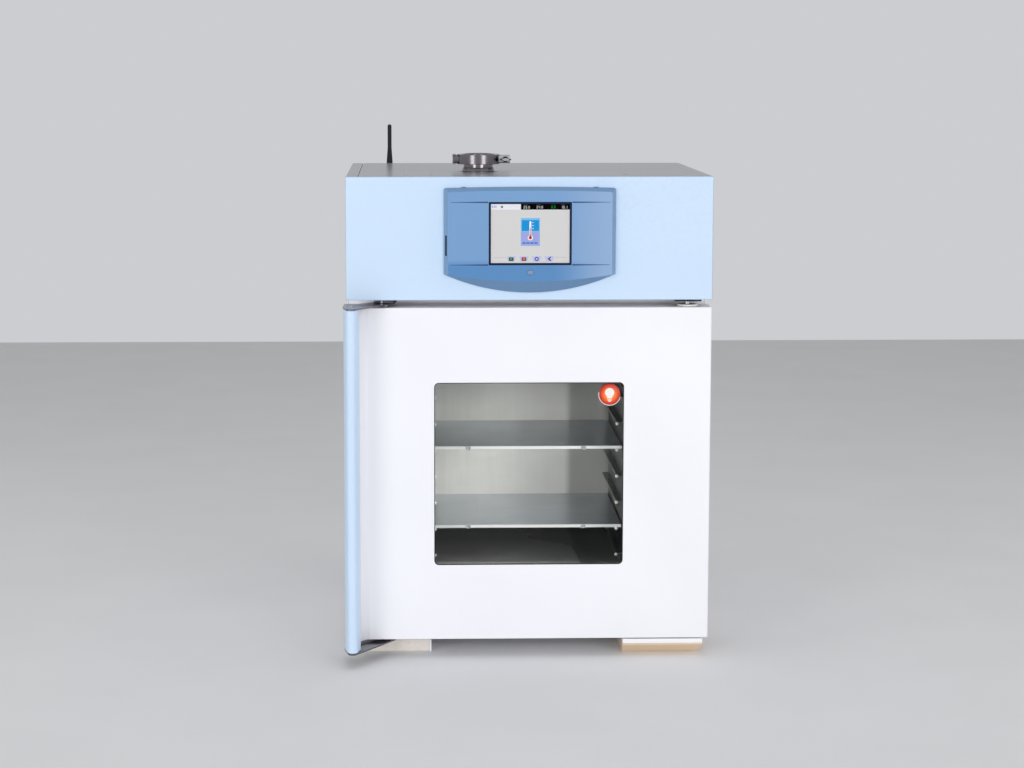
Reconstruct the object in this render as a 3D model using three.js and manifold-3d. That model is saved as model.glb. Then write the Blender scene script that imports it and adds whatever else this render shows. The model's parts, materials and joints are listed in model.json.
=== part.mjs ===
import * as THREE from 'three';
import { mergeVertices } from 'three/addons/utils/BufferGeometryUtils.js';
import Module from 'manifold-3d';

// Vacuum drying oven, in millimetres. While it is built, X runs to the right of the oven from its
// middle plane, Y from the front of the control fascia to the back, and Z up from the bench.
// The finished group is shifted so that the origin is under the middle of the whole oven.

const wasm = await Module();
wasm.setup();

// Driving dimensions
const bodyWidth = 540;
const bodyHeight = 719.4;
const fasciaHeight = 181.7;
const bodyFront = 74;
const sheet = 1.5;
const seam = 0.3;
const overrun = 5;

// Door
const doorBottom = 27;
const doorGapAbove = 11.4;
const doorSheet = 2;
const doorPanDepth = 45;
const doorLeftInset = 18;
const doorCorner = 3;
const sweepRadius = 13;
const windowWidth = 281.6;
const windowHeight = 274.9;
const windowCentre = 277.4;
const windowCorner = 7;

// Chamber
const chamberWidth = 300;
const chamberHeight = 305;
const chamberDepth = 250;
const chamberFloor = 125;
const chamberCorner = 10;
const chamberWall = 3;
const flangeWidth = 30;
const flangeThickness = 8;
const insulationBack = 44;
const serviceSpace = 47.2;

// Skids and hinge line
const skidHeight = 18;
const skidWidth = 120;
const skidInset = 8;
const hingeInset = 34;
const hingeY = 24;
const hingePinRadius = 5;

// Lever handle
const leverInset = 39;
const leverPivotY = 24;
const barNoseY = -66;
const barLeftReach = 21;
const barRightInset = 2;
const barBackY = -38;
const barFlank = 6;
const barWall = 2.5;
const barOverhang = 3.5;
const armThickness = 2.3;
const armLip = 1;

// Vacuum port on the top cover
const portX = -70.8;
const portY = 153;
const portTubeRadius = 22.25;
const portTubeWall = 2;
const portFlangeRadius = 27.5;
const portFlangeRise = 19;

// Rear fittings
const rearReach = 26;

// Places that follow from the driving dimensions
const halfWidth = bodyWidth / 2;
const insideWidth = halfWidth - sheet - seam;
const doorLeft = halfWidth - doorLeftInset;
const hingeX = halfWidth - hingeInset;
const leverPivotX = -doorLeft + leverInset;
const barLeftX = -doorLeft - barLeftReach;
const barRightX = -doorLeft + barRightInset;
const barMiddleX = (barLeftX + barRightX) / 2;
const barFlankY = barBackY - barFlank;
const headBottom = bodyHeight - fasciaHeight;
const doorTop = headBottom - doorGapAbove;
const bodyBottom = skidHeight + seam;
const chamberTop = chamberFloor + chamberHeight;
const chamberMiddle = (chamberFloor + chamberTop) / 2;
const flangeFront = bodyFront + sheet + seam;
const chamberBack = flangeFront + chamberDepth;
const bodyDepth = chamberBack + chamberWall + insulationBack + serviceSpace;
const portCentre = bodyHeight + portFlangeRise;

// Colours with roughness and metalness
const finishes = {
  paleBlue: [0xd1e6fd, 0.42, 0],
  coverGrey: [0xc9cad2, 0.5, 0],
  white: [0xf6f6fb, 0.4, 0],
  cream: [0xe4dcd7, 0.55, 0],
  steel: [0xb4b4ae, 0.32, 1],
  aluminium: [0xc4c8cc, 0.36, 1],
  blackSteel: [0x26262a, 0.5, 0.6],
  bezelBlue: [0x80a6d6, 0.45, 0],
  glass: [0xdfe8e6, 0.05, 0],
  screen: [0xe4e2de, 0.2, 0],
  rubber: [0x9a4a3c, 0.7, 0],
  blackRubber: [0x1d1d1f, 0.8, 0],
  wool: [0xd8cfae, 0.95, 0],
  heater: [0x8a5a2c, 0.6, 0],
  board: [0x2f6b3f, 0.6, 0],
  signalRed: [0xe15a1e, 0.35, 0],
  plastic: [0x202124, 0.55, 0],
};

const roundSegments = 32;
const pipeSegments = 24;
const smallSegments = 20;
const clampSegments = 40;
const standoffSegments = 12;
const cornerSteps = 4;
const smallCornerSteps = 3;
const sweepSteps = 8;
const weldDistance = 1e-4;

// Solids from three.js geometry

function toSolid(geometry) {
  const bare = geometry.clone();
  bare.deleteAttribute('normal');
  bare.deleteAttribute('uv');
  const merged = mergeVertices(bare, weldDistance);
  const corners = merged.index.array;
  const kept = [];
  for (let i = 0; i < corners.length; i += 3) {
    const [a, b, c] = corners.slice(i, i + 3);
    if (a !== b && b !== c && c !== a) kept.push(a, b, c);
  }
  return new wasm.Manifold(new wasm.Mesh({
    numProp: 3,
    vertProperties: merged.attributes.position.array,
    triVerts: Uint32Array.from(kept),
  }));
}

function toGeometry(solid) {
  const mesh = solid.getMesh();
  const geometry = new THREE.BufferGeometry();
  geometry.setAttribute('position', new THREE.BufferAttribute(mesh.vertProperties, 3));
  geometry.setIndex(new THREE.BufferAttribute(mesh.triVerts, 1));
  geometry.computeVertexNormals();
  return geometry;
}

function box([x0, x1], [y0, y1], [z0, z1]) {
  const geometry = new THREE.BoxGeometry(x1 - x0, y1 - y0, z1 - z0);
  geometry.translate((x0 + x1) / 2, (y0 + y1) / 2, (z0 + z1) / 2);
  return toSolid(geometry);
}

// A closed outline pushed along an axis. It lies in (X, Y) for z, in (X, Z) for y and in (Y, Z) for x.
function prism(axis, outline, [from, to], holes = []) {
  const asPoints = (pairs) => pairs.map(([a, b]) => new THREE.Vector2(a, b));
  const shape = new THREE.Shape(asPoints(outline));
  shape.holes = holes.map((hole) => new THREE.Path(asPoints(hole)));
  const geometry = new THREE.ExtrudeGeometry(shape, { depth: to - from, bevelEnabled: false });
  if (axis === 'z') {
    geometry.translate(0, 0, from);
  } else if (axis === 'y') {
    geometry.rotateX(Math.PI / 2);
    geometry.translate(0, to, 0);
  } else {
    geometry.rotateX(Math.PI / 2);
    geometry.rotateZ(Math.PI / 2);
    geometry.translate(from, 0, 0);
  }
  return toSolid(geometry);
}

// A profile of (radius, height) pairs turned about an axis through a centre.
function turned(axis, centre, profile, segments = roundSegments) {
  const points = profile.map(([radius, height]) => new THREE.Vector2(radius, height));
  if (THREE.ShapeUtils.area(points) < 0) points.reverse();
  const onAxis = points[0].x === 0 && points.at(-1).x === 0;
  const closed = onAxis ? points : [...points, points[0].clone()];
  const geometry = new THREE.LatheGeometry(closed, segments);
  if (axis === 'z') geometry.rotateX(Math.PI / 2);
  if (axis === 'x') geometry.rotateZ(-Math.PI / 2);
  geometry.translate(...centre);
  return toSolid(geometry);
}

function disc(axis, centre, radius, [from, to], segments = smallSegments) {
  return turned(axis, centre, [[0, from], [radius, from], [radius, to], [0, to]], segments);
}

function tube(axis, centre, inner, outer, [from, to], segments = roundSegments) {
  return turned(axis, centre, [[inner, from], [outer, from], [outer, to], [inner, to]], segments);
}

function unite(first, ...others) {
  return others.reduce((sum, other) => sum.add(other), first);
}

function cut(first, ...tools) {
  return tools.reduce((rest, tool) => rest.subtract(tool), first);
}

// Outlines

function arc([x, y], radius, fromDegrees, toDegrees, steps) {
  const points = [];
  for (let i = 0; i <= steps; i += 1) {
    const angle = THREE.MathUtils.degToRad(fromDegrees + ((toDegrees - fromDegrees) * i) / steps);
    points.push([x + radius * Math.cos(angle), y + radius * Math.sin(angle)]);
  }
  return points;
}

function roundedRect([x0, x1], [y0, y1], radius, steps = cornerSteps) {
  return [
    ...arc([x1 - radius, y0 + radius], radius, -90, 0, steps),
    ...arc([x1 - radius, y1 - radius], radius, 0, 90, steps),
    ...arc([x0 + radius, y1 - radius], radius, 90, 180, steps),
    ...arc([x0 + radius, y0 + radius], radius, 180, 270, steps),
  ];
}

function centredRect(width, height, middle, radius, steps) {
  return roundedRect([-width / 2, width / 2], [middle - height / 2, middle + height / 2], radius, steps);
}

// Points over a shallow arch of the given rise, from one end of a chord to the other.
function arch(halfChord, endHeight, rise, steps) {
  const radius = (halfChord ** 2 + rise ** 2) / (2 * Math.abs(rise));
  const points = [];
  for (let i = 0; i <= steps; i += 1) {
    const x = halfChord * ((2 * i) / steps - 1);
    const lift = Math.sqrt(radius ** 2 - x ** 2) - (radius - Math.abs(rise));
    points.push([x, endHeight + Math.sign(rise) * lift]);
  }
  return points;
}

// A closed solid over rings of (X, Z) points that each stand at their own Y, from back to front.
function loftAlongY(rings) {
  const count = rings[0].points.length;
  const positions = rings.flatMap(({ y, points }) => points.flatMap(([x, z]) => [x, y, z]));
  const index = [];
  for (let ring = 0; ring + 1 < rings.length; ring += 1) {
    for (let i = 0; i < count; i += 1) {
      const a = ring * count + i;
      const b = ring * count + ((i + 1) % count);
      index.push(a, b, b + count, a, b + count, a + count);
    }
  }
  const flat = rings[0].points.map(([x, z]) => new THREE.Vector2(x, z));
  const last = (rings.length - 1) * count;
  for (const [a, b, c] of THREE.ShapeUtils.triangulateShape(flat, [])) {
    index.push(a, c, b, last + a, last + b, last + c);
  }
  const geometry = new THREE.BufferGeometry();
  geometry.setAttribute('position', new THREE.BufferAttribute(new Float32Array(positions), 3));
  geometry.setIndex(index);
  return toSolid(geometry);
}

// The oven and its moving groups
const oven = new THREE.Group();

function addPiece(name, solid, finish) {
  const [color, roughness, metalness] = finishes[finish];
  const material = new THREE.MeshStandardMaterial({ color, roughness, metalness });
  const mesh = new THREE.Mesh(toGeometry(solid), material);
  mesh.name = name;
  oven.add(mesh);
  return mesh;
}

// Skids: open trays of folded sheet, the right one with a long nose that carries the lower hinge.
const skidWall = 2;
const skidBackInset = 22;
const skidLap = 4;
const skidLapDepth = 3;
const leftSkidFront = 30;
const rightSkidFront = 2;
const noseLip = 2.1;
const noseRun = 20;
const flankInset = 7;
const flankRise = 10;
const skidOuter = halfWidth - skidInset;
const skidInner = skidOuter - skidWidth;
const skidBack = bodyDepth - skidBackInset;

function buildSkids() {
  const leftTray = cut(
    box([-skidOuter, -skidInner], [leftSkidFront, skidBack], [0, skidHeight]),
    box(
      [-skidOuter + skidWall, -skidInner - skidWall],
      [leftSkidFront + skidLapDepth + skidWall, skidBack - skidWall],
      [skidWall, skidHeight + overrun],
    ),
    box(
      [-skidOuter - overrun, -skidInner - skidLap],
      [leftSkidFront - overrun, leftSkidFront + skidLapDepth],
      [-overrun, skidHeight + overrun],
    ),
  );
  addPiece('left_skid', leftTray, 'cream');

  const rightOutline = [
    [rightSkidFront + noseRun, 0],
    [skidBack, 0],
    [skidBack, skidHeight],
    [rightSkidFront, skidHeight],
    [rightSkidFront, skidHeight - noseLip],
  ];
  // The lower corners slope inwards along the whole skid.
  const section = (inset, top) => [
    [skidInner + flankInset + inset, inset],
    [skidOuter - flankInset - inset, inset],
    [skidOuter - inset, flankRise + inset],
    [skidOuter - inset, top],
    [skidInner + inset, top],
    [skidInner + inset, flankRise + inset],
  ];
  const rightTray = cut(
    prism('x', rightOutline, [skidInner, skidOuter])
      .intersect(prism('y', section(0, skidHeight), [rightSkidFront, skidBack])),
    prism(
      'y',
      section(skidWall, skidHeight + overrun),
      [rightSkidFront + noseRun + skidWall, skidBack - skidWall],
    ),
  );
  addPiece('right_skid', rightTray, 'cream');
}

// Sheet-metal body
const flangeStrip = 17;
const fasciaFold = 14;
const fasciaCorner = 2;
const headFront = sheet + seam;
const coverHoleRadius = 28;
const coverScrewInset = 125;
const coverScrewY = 52;
const coverScrewRadius = 3;
const coverScrewHeight = 1.2;
const portClearance = 4;
const mouthClearance = 3;
const gasketWidth = 12;
const gasketInset = 3;
const cableHoleRadius = 18;
const gasketOuterWidth = chamberWidth + 2 * (gasketInset + gasketWidth);
const gasketOuterHeight = chamberHeight + 2 * (gasketInset + gasketWidth);

function buildSidePanel(side) {
  const outer = side * halfWidth;
  const across = (inward) => [outer, outer - side * inward].sort((a, b) => a - b);
  const outline = [
    [bodyFront, bodyBottom],
    [bodyDepth, bodyBottom],
    [bodyDepth, bodyHeight],
    [headFront, bodyHeight],
    [headFront, headBottom],
    [bodyFront, headBottom],
  ];
  return unite(
    prism('x', outline, across(sheet)),
    box(across(flangeStrip), [headFront, bodyDepth], [bodyHeight - sheet, bodyHeight]),
  );
}

function buildBody() {
  addPiece('left_side_panel', buildSidePanel(-1), 'white');
  addPiece('right_side_panel', buildSidePanel(1), 'white');

  const basePlate = box(
    [-insideWidth, insideWidth],
    [bodyFront, bodyDepth - sheet - seam],
    [bodyBottom, bodyBottom + sheet],
  );
  addPiece('base_panel', basePlate, 'white');

  const mouthWidth = gasketOuterWidth + 2 * mouthClearance;
  const mouthHeight = gasketOuterHeight + 2 * mouthClearance;
  const mouth = centredRect(mouthWidth, mouthHeight, chamberMiddle, chamberCorner + mouthClearance);
  const frameOutline = [
    [-insideWidth, bodyBottom + sheet + seam],
    [insideWidth, bodyBottom + sheet + seam],
    [insideWidth, headBottom - seam],
    [-insideWidth, headBottom - seam],
  ];
  const frame = prism('y', frameOutline, [bodyFront, bodyFront + sheet], [mouth]);
  addPiece('front_frame', frame, 'white');

  const headFloor = cut(
    box(
      [-insideWidth, insideWidth],
      [headFront, bodyDepth - sheet - seam],
      [headBottom, headBottom + sheet],
    ),
    disc('z', [portX, portY, headBottom], portTubeRadius + portClearance, [-overrun, overrun]),
  );
  addPiece('head_floor', headFloor, 'white');

  const faceOutline = roundedRect(
    [-halfWidth, halfWidth],
    [headBottom, bodyHeight],
    fasciaCorner,
    smallCornerSteps,
  );
  const foldLow = headBottom + sheet + seam;
  const foldHigh = bodyHeight - sheet - seam;
  const foldOutline = [
    [-insideWidth, foldLow],
    [insideWidth, foldLow],
    [insideWidth, foldHigh],
    [-insideWidth, foldHigh],
  ];
  const foldHole = [
    [-insideWidth + sheet, foldLow + sheet],
    [insideWidth - sheet, foldLow + sheet],
    [insideWidth - sheet, foldHigh - sheet],
    [-insideWidth + sheet, foldHigh - sheet],
  ];
  const fascia = cut(
    unite(
      prism('y', faceOutline, [0, sheet]),
      prism('y', foldOutline, [sheet / 2, fasciaFold], [foldHole]),
    ),
    disc('y', [0, 0, screenMiddle], cableHoleRadius, [-overrun, overrun]),
  );
  addPiece('control_fascia', fascia, 'paleBlue');

  const coverHalf = halfWidth - flangeStrip - seam;
  const coverScrewX = halfWidth - coverScrewInset;
  const coverScrews = [-coverScrewX, coverScrewX].map((x) => disc(
    'z',
    [x, coverScrewY, bodyHeight],
    coverScrewRadius,
    [-sheet / 2, coverScrewHeight],
    smallSegments,
  ));
  const cover = cut(
    unite(
      box([-coverHalf, coverHalf], [headFront, bodyDepth], [bodyHeight - sheet, bodyHeight]),
      ...coverScrews,
    ),
    disc('z', [portX, portY, bodyHeight], coverHoleRadius, [-overrun, overrun], roundSegments),
  );
  addPiece('top_cover', cover, 'coverGrey');
}

// Rear panel with its fittings' cut-outs and a row of vent slots
const inletInset = 105;
const inletX = halfWidth - inletInset;
const inletZ = 85;
const inletBodyWidth = 46;
const inletBodyHeight = 24;
const vacuumX = 60;
const vacuumDrop = 30;
const vacuumZ = chamberTop - vacuumDrop;
const vacuumPipeRadius = 8;
const vacuumPipeWall = 1.5;
const gasPitch = 60;
const gasX = vacuumX + gasPitch;
const gasPipeRadius = 4;
const socketInset = 180;
const socketX = halfWidth - socketInset;
const socketRise = 102.3;
const socketZ = headBottom + socketRise;
const socketWidth = 16;
const socketHeight = 14;
const antennaInset = 61;
const antennaX = -halfWidth + antennaInset;
const antennaDrop = 24.4;
const antennaZ = bodyHeight - antennaDrop;
const antennaThreadRadius = 3.1;
const ventWidth = 4;
const ventHeight = 46;
const ventPitch = 12;
const ventCount = 10;
const ventInset = 120;
const ventX = -halfWidth + ventInset;
const ventRise = 42.3;
const ventLowZ = headBottom + ventRise;

function buildRearPanel() {
  const plate = box(
    [-insideWidth, insideWidth],
    [bodyDepth - sheet, bodyDepth],
    [bodyBottom, bodyHeight - sheet - seam],
  );
  const holes = [
    box(
      [inletX - inletBodyWidth / 2 - seam, inletX + inletBodyWidth / 2 + seam],
      [bodyDepth - overrun, bodyDepth + overrun],
      [inletZ - inletBodyHeight / 2 - seam, inletZ + inletBodyHeight / 2 + seam],
    ),
    box(
      [socketX - socketWidth / 2 - seam, socketX + socketWidth / 2 + seam],
      [bodyDepth - overrun, bodyDepth + overrun],
      [socketZ - socketHeight / 2 - seam, socketZ + socketHeight / 2 + seam],
    ),
    disc('y', [vacuumX, bodyDepth, vacuumZ], vacuumPipeRadius + seam, [-overrun, overrun]),
    disc('y', [gasX, bodyDepth, vacuumZ], gasPipeRadius + seam, [-overrun, overrun]),
    disc('y', [antennaX, bodyDepth, antennaZ], antennaThreadRadius + seam, [-overrun, overrun]),
  ];
  for (let i = 0; i < ventCount; i += 1) {
    const x = ventX + i * ventPitch;
    holes.push(box(
      [x, x + ventWidth],
      [bodyDepth - overrun, bodyDepth + overrun],
      [ventLowZ, ventLowZ + ventHeight],
    ));
  }
  addPiece('rear_panel', cut(plate, ...holes), 'white');
}

// Chamber: pressure vessel with a flanged mouth, its seal, heaters and insulation
const grooveDepth = 4;
const grooveClearance = 0.4;
const glassThickness = 14;
const glassMargin = 30;
const glassClearance = 1.3;
const glassBack = bodyFront - glassClearance;
const gasketFront = glassBack + seam;
const heaterThickness = 2;
const heaterMargin = 20;
const insulationSide = 6;
const insulationFloor = 4;

const shellBack = chamberBack + chamberWall;
const shellHalf = chamberWidth / 2 + chamberWall;
const shellLow = chamberFloor - chamberWall;
const shellHigh = chamberTop + chamberWall;

function buildChamber() {
  const flangeBack = flangeFront + flangeThickness;
  const flange = prism(
    'y',
    centredRect(
      chamberWidth + 2 * flangeWidth,
      chamberHeight + 2 * flangeWidth,
      chamberMiddle,
      chamberCorner,
    ),
    [flangeFront, flangeBack],
  );
  const shell = box([-shellHalf, shellHalf], [flangeFront, shellBack], [shellLow, shellHigh]);
  const cavity = prism(
    'y',
    centredRect(chamberWidth, chamberHeight, chamberMiddle, chamberCorner),
    [flangeFront - overrun, chamberBack],
  );
  const inset = 2 * (gasketInset - grooveClearance);
  const reach = 2 * (gasketInset + gasketWidth + grooveClearance);
  const groove = prism(
    'y',
    centredRect(chamberWidth + reach, chamberHeight + reach, chamberMiddle, chamberCorner + gasketInset),
    [flangeFront - overrun, flangeFront + grooveDepth],
    [centredRect(chamberWidth + inset, chamberHeight + inset, chamberMiddle, chamberCorner)],
  );
  const wallSpan = [-overrun, chamberWall + overrun];
  const ports = [
    disc(
      'z',
      [portX, portY, chamberTop],
      portTubeRadius + seam,
      wallSpan,
      roundSegments,
    ),
    disc('y', [vacuumX, chamberBack, vacuumZ], vacuumPipeRadius + seam, wallSpan),
    disc('y', [gasX, chamberBack, vacuumZ], gasPipeRadius + seam, wallSpan),
  ];
  addPiece('chamber_shell', cut(unite(shell, flange), cavity, groove, ...ports), 'steel');

  const gasket = prism(
    'y',
    centredRect(gasketOuterWidth, gasketOuterHeight, chamberMiddle, chamberCorner + gasketInset),
    [gasketFront, flangeFront + grooveDepth - seam],
    [centredRect(
      chamberWidth + 2 * gasketInset,
      chamberHeight + 2 * gasketInset,
      chamberMiddle,
      chamberCorner,
    )],
  );
  addPiece('chamber_gasket', gasket, 'rubber');

  const heaterSpan = [flangeBack + heaterMargin, chamberBack - heaterMargin];
  const heaterRise = [chamberFloor + heaterMargin, chamberTop - heaterMargin];
  const matInner = shellHalf + seam;
  const matOuter = matInner + heaterThickness;
  addPiece('heater_left', box([-matOuter, -matInner], heaterSpan, heaterRise), 'heater');
  addPiece('heater_right', box([matInner, matOuter], heaterSpan, heaterRise), 'heater');
  const matTop = shellLow - seam;
  const floorMat = box(
    [-chamberWidth / 2 + heaterMargin, chamberWidth / 2 - heaterMargin],
    heaterSpan,
    [matTop - heaterThickness, matTop],
  );
  addPiece('heater_bottom', floorMat, 'heater');

  const pocketGrow = seam + heaterThickness + seam;
  const backSpan = [-overrun, insulationBack + overrun];
  const jacket = cut(
    box(
      [-insideWidth + insulationSide, insideWidth - insulationSide],
      [flangeBack + seam, shellBack + insulationBack],
      [bodyBottom + sheet + insulationFloor, headBottom - seam],
    ),
    box(
      [-shellHalf - pocketGrow, shellHalf + pocketGrow],
      [flangeFront, shellBack + seam],
      [shellLow - pocketGrow, shellHigh + seam],
    ),
    disc(
      'z',
      [portX, portY, shellHigh],
      portFlangeRadius + seam,
      [-overrun, headBottom - shellHigh + overrun],
      roundSegments,
    ),
    disc('y', [vacuumX, shellBack, vacuumZ], vacuumPipeRadius + seam, backSpan),
    disc('y', [gasX, shellBack, vacuumZ], gasPipeRadius + seam, backSpan),
  );
  addPiece('insulation_jacket', jacket, 'wool');
}

// Racks with folded ledges, and the two shelves that lie on them
const ledgeCount = 7;
const ledgePitch = 40.6;
const lowestLedge = 137.1;
const ledgeReach = 11;
const ledgeSheet = 1.2;
const rackFrontInset = 10.2;
const rackBackInset = 3;
const shelfThickness = 4.5;
const shelfSheet = 1.5;
const shelfSideGap = 2.5;
const shelfBackGap = 4;
const shelfNotchX = 88;
const shelfNotchWidth = 6;
const shelfNotchDepth = 1.4;
const ledgeCountUnderUpper = 4;
const ledgeCountUnderLower = 1;
const shelfFront = flangeFront + rackFrontInset;
const ledgeTop = (level) => lowestLedge + level * ledgePitch;

function buildRack(side) {
  const wallFace = side * (chamberWidth / 2 - seam);
  const across = (reach) => [wallFace, wallFace - side * reach].sort((a, b) => a - b);
  const along = [shelfFront, chamberBack - rackBackInset];
  const topLedge = ledgeTop(ledgeCount - 1);
  const plate = box(across(ledgeSheet), along, [ledgeTop(0) - ledgeSheet, topLedge + ledgeReach]);
  const ledges = [];
  for (let level = 0; level < ledgeCount; level += 1) {
    ledges.push(box(across(ledgeReach), along, [ledgeTop(level) - ledgeSheet, ledgeTop(level)]));
  }
  return unite(plate, ...ledges);
}

function buildShelf(level) {
  const half = chamberWidth / 2 - ledgeSheet - shelfSideGap;
  const low = ledgeTop(level) + seam;
  const high = low + shelfThickness;
  const back = chamberBack - shelfBackGap;
  const notches = [-shelfNotchX, shelfNotchX].map((x) => box(
    [x - shelfNotchWidth / 2, x + shelfNotchWidth / 2],
    [shelfFront - overrun, shelfFront + shelfNotchDepth],
    [low - overrun, high + overrun],
  ));
  return cut(
    box([-half, half], [shelfFront, back], [low, high]),
    box(
      [-half + shelfSheet, half - shelfSheet],
      [shelfFront + shelfSheet, back - shelfSheet],
      [low - overrun, high - shelfSheet],
    ),
    ...notches,
  );
}

function buildRacksAndShelves() {
  addPiece('left_rack', buildRack(-1), 'steel');
  addPiece('right_rack', buildRack(1), 'steel');
  addPiece('upper_shelf', buildShelf(ledgeCountUnderUpper), 'aluminium');
  addPiece('lower_shelf', buildShelf(ledgeCountUnderLower), 'aluminium');
}

// Vacuum port: flanged tube, centring ring, blank flange and hinged clamp
const faceHalfGap = 1.95;
const rimHeight = 2.05;
const coneHeight = 1.4;
const blankNeck = 3;
const blankChamfer = 0.7;
const blankRim = 1.6;
const blankRecess = 1.2;
const weldCollar = 3;
const ringNose = 5;
const ringWall = 1.35;
const webHalf = 0.8;
const sealRadius = 1.65;
const sealCentre = 24.9;
const sealSides = 10;
const clampOuter = 33;
const clampLip = 25.5;
const clampHalfHeight = 7.3;
const clampEdge = 1.6;
const clampSplit = 0.8;
const clampPlay = 0.5;
const earReach = 15.2;
const earDepth = 10.7;
const earHalfHeight = 6;
const boltOffset = 41;
const boltRadius = 2.5;
const boltHeadRadius = 4.4;
const boltHeadHeight = 3;
const boltTail = 5;
const boltPlay = 0.3;
const lugReach = 7;
const lugDepth = 9;
const linkSheet = 1.4;
const nutRadius = 4.4;
const nutHeight = 5;
const wingSpan = 8.2;
const wingHeight = 8;
const wingRoot = 2.1;
const wingTip = 3;

function ringProfile() {
  const rimBack = faceHalfGap + rimHeight;
  return {
    rimBack,
    neckBack: rimBack + coneHeight,
    bore: portTubeRadius - portTubeWall,
  };
}

function buildPortFlanges() {
  const { rimBack, neckBack, bore } = ringProfile();
  const centre = [portX, portY, portCentre];
  const bottom = chamberTop - portCentre;
  const collarLow = bottom + chamberWall + seam;
  const tubeProfile = [
    [bore, bottom],
    [portTubeRadius, bottom],
    [portTubeRadius, collarLow],
    [portFlangeRadius, collarLow],
    [portFlangeRadius, collarLow + weldCollar],
    [portTubeRadius, collarLow + weldCollar],
    [portTubeRadius, -neckBack],
    [portFlangeRadius, -rimBack],
    [portFlangeRadius, -faceHalfGap],
    [bore, -faceHalfGap],
  ];
  addPiece('port_tube', turned('z', centre, tubeProfile), 'steel');

  const noseOuter = bore - seam;
  const noseInner = noseOuter - ringWall;
  const webOuter = sealCentre - sealRadius - seam;
  const ringOutline = [
    [noseInner, -ringNose],
    [noseOuter, -ringNose],
    [noseOuter, -webHalf],
    [webOuter, -webHalf],
    [webOuter, webHalf],
    [noseInner, webHalf],
  ];
  addPiece('port_centring_ring', turned('z', centre, ringOutline), 'aluminium');

  const lastAngle = 360 - 360 / sealSides;
  const sealSection = arc([sealCentre, 0], sealRadius, 0, lastAngle, sealSides - 1);
  addPiece('port_o_ring', turned('z', centre, sealSection), 'blackRubber');

  const blankTop = neckBack + blankNeck;
  const recessRadius = portTubeRadius - blankChamfer - blankRim;
  const blankOutline = [
    [0, faceHalfGap],
    [portFlangeRadius, faceHalfGap],
    [portFlangeRadius, rimBack],
    [portTubeRadius, neckBack],
    [portTubeRadius, blankTop - blankChamfer],
    [portTubeRadius - blankChamfer, blankTop],
    [recessRadius, blankTop],
    [recessRadius, blankTop - blankRecess],
    [0, blankTop - blankRecess],
  ];
  addPiece('port_blank_flange', turned('z', centre, blankOutline), 'steel');
}

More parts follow.
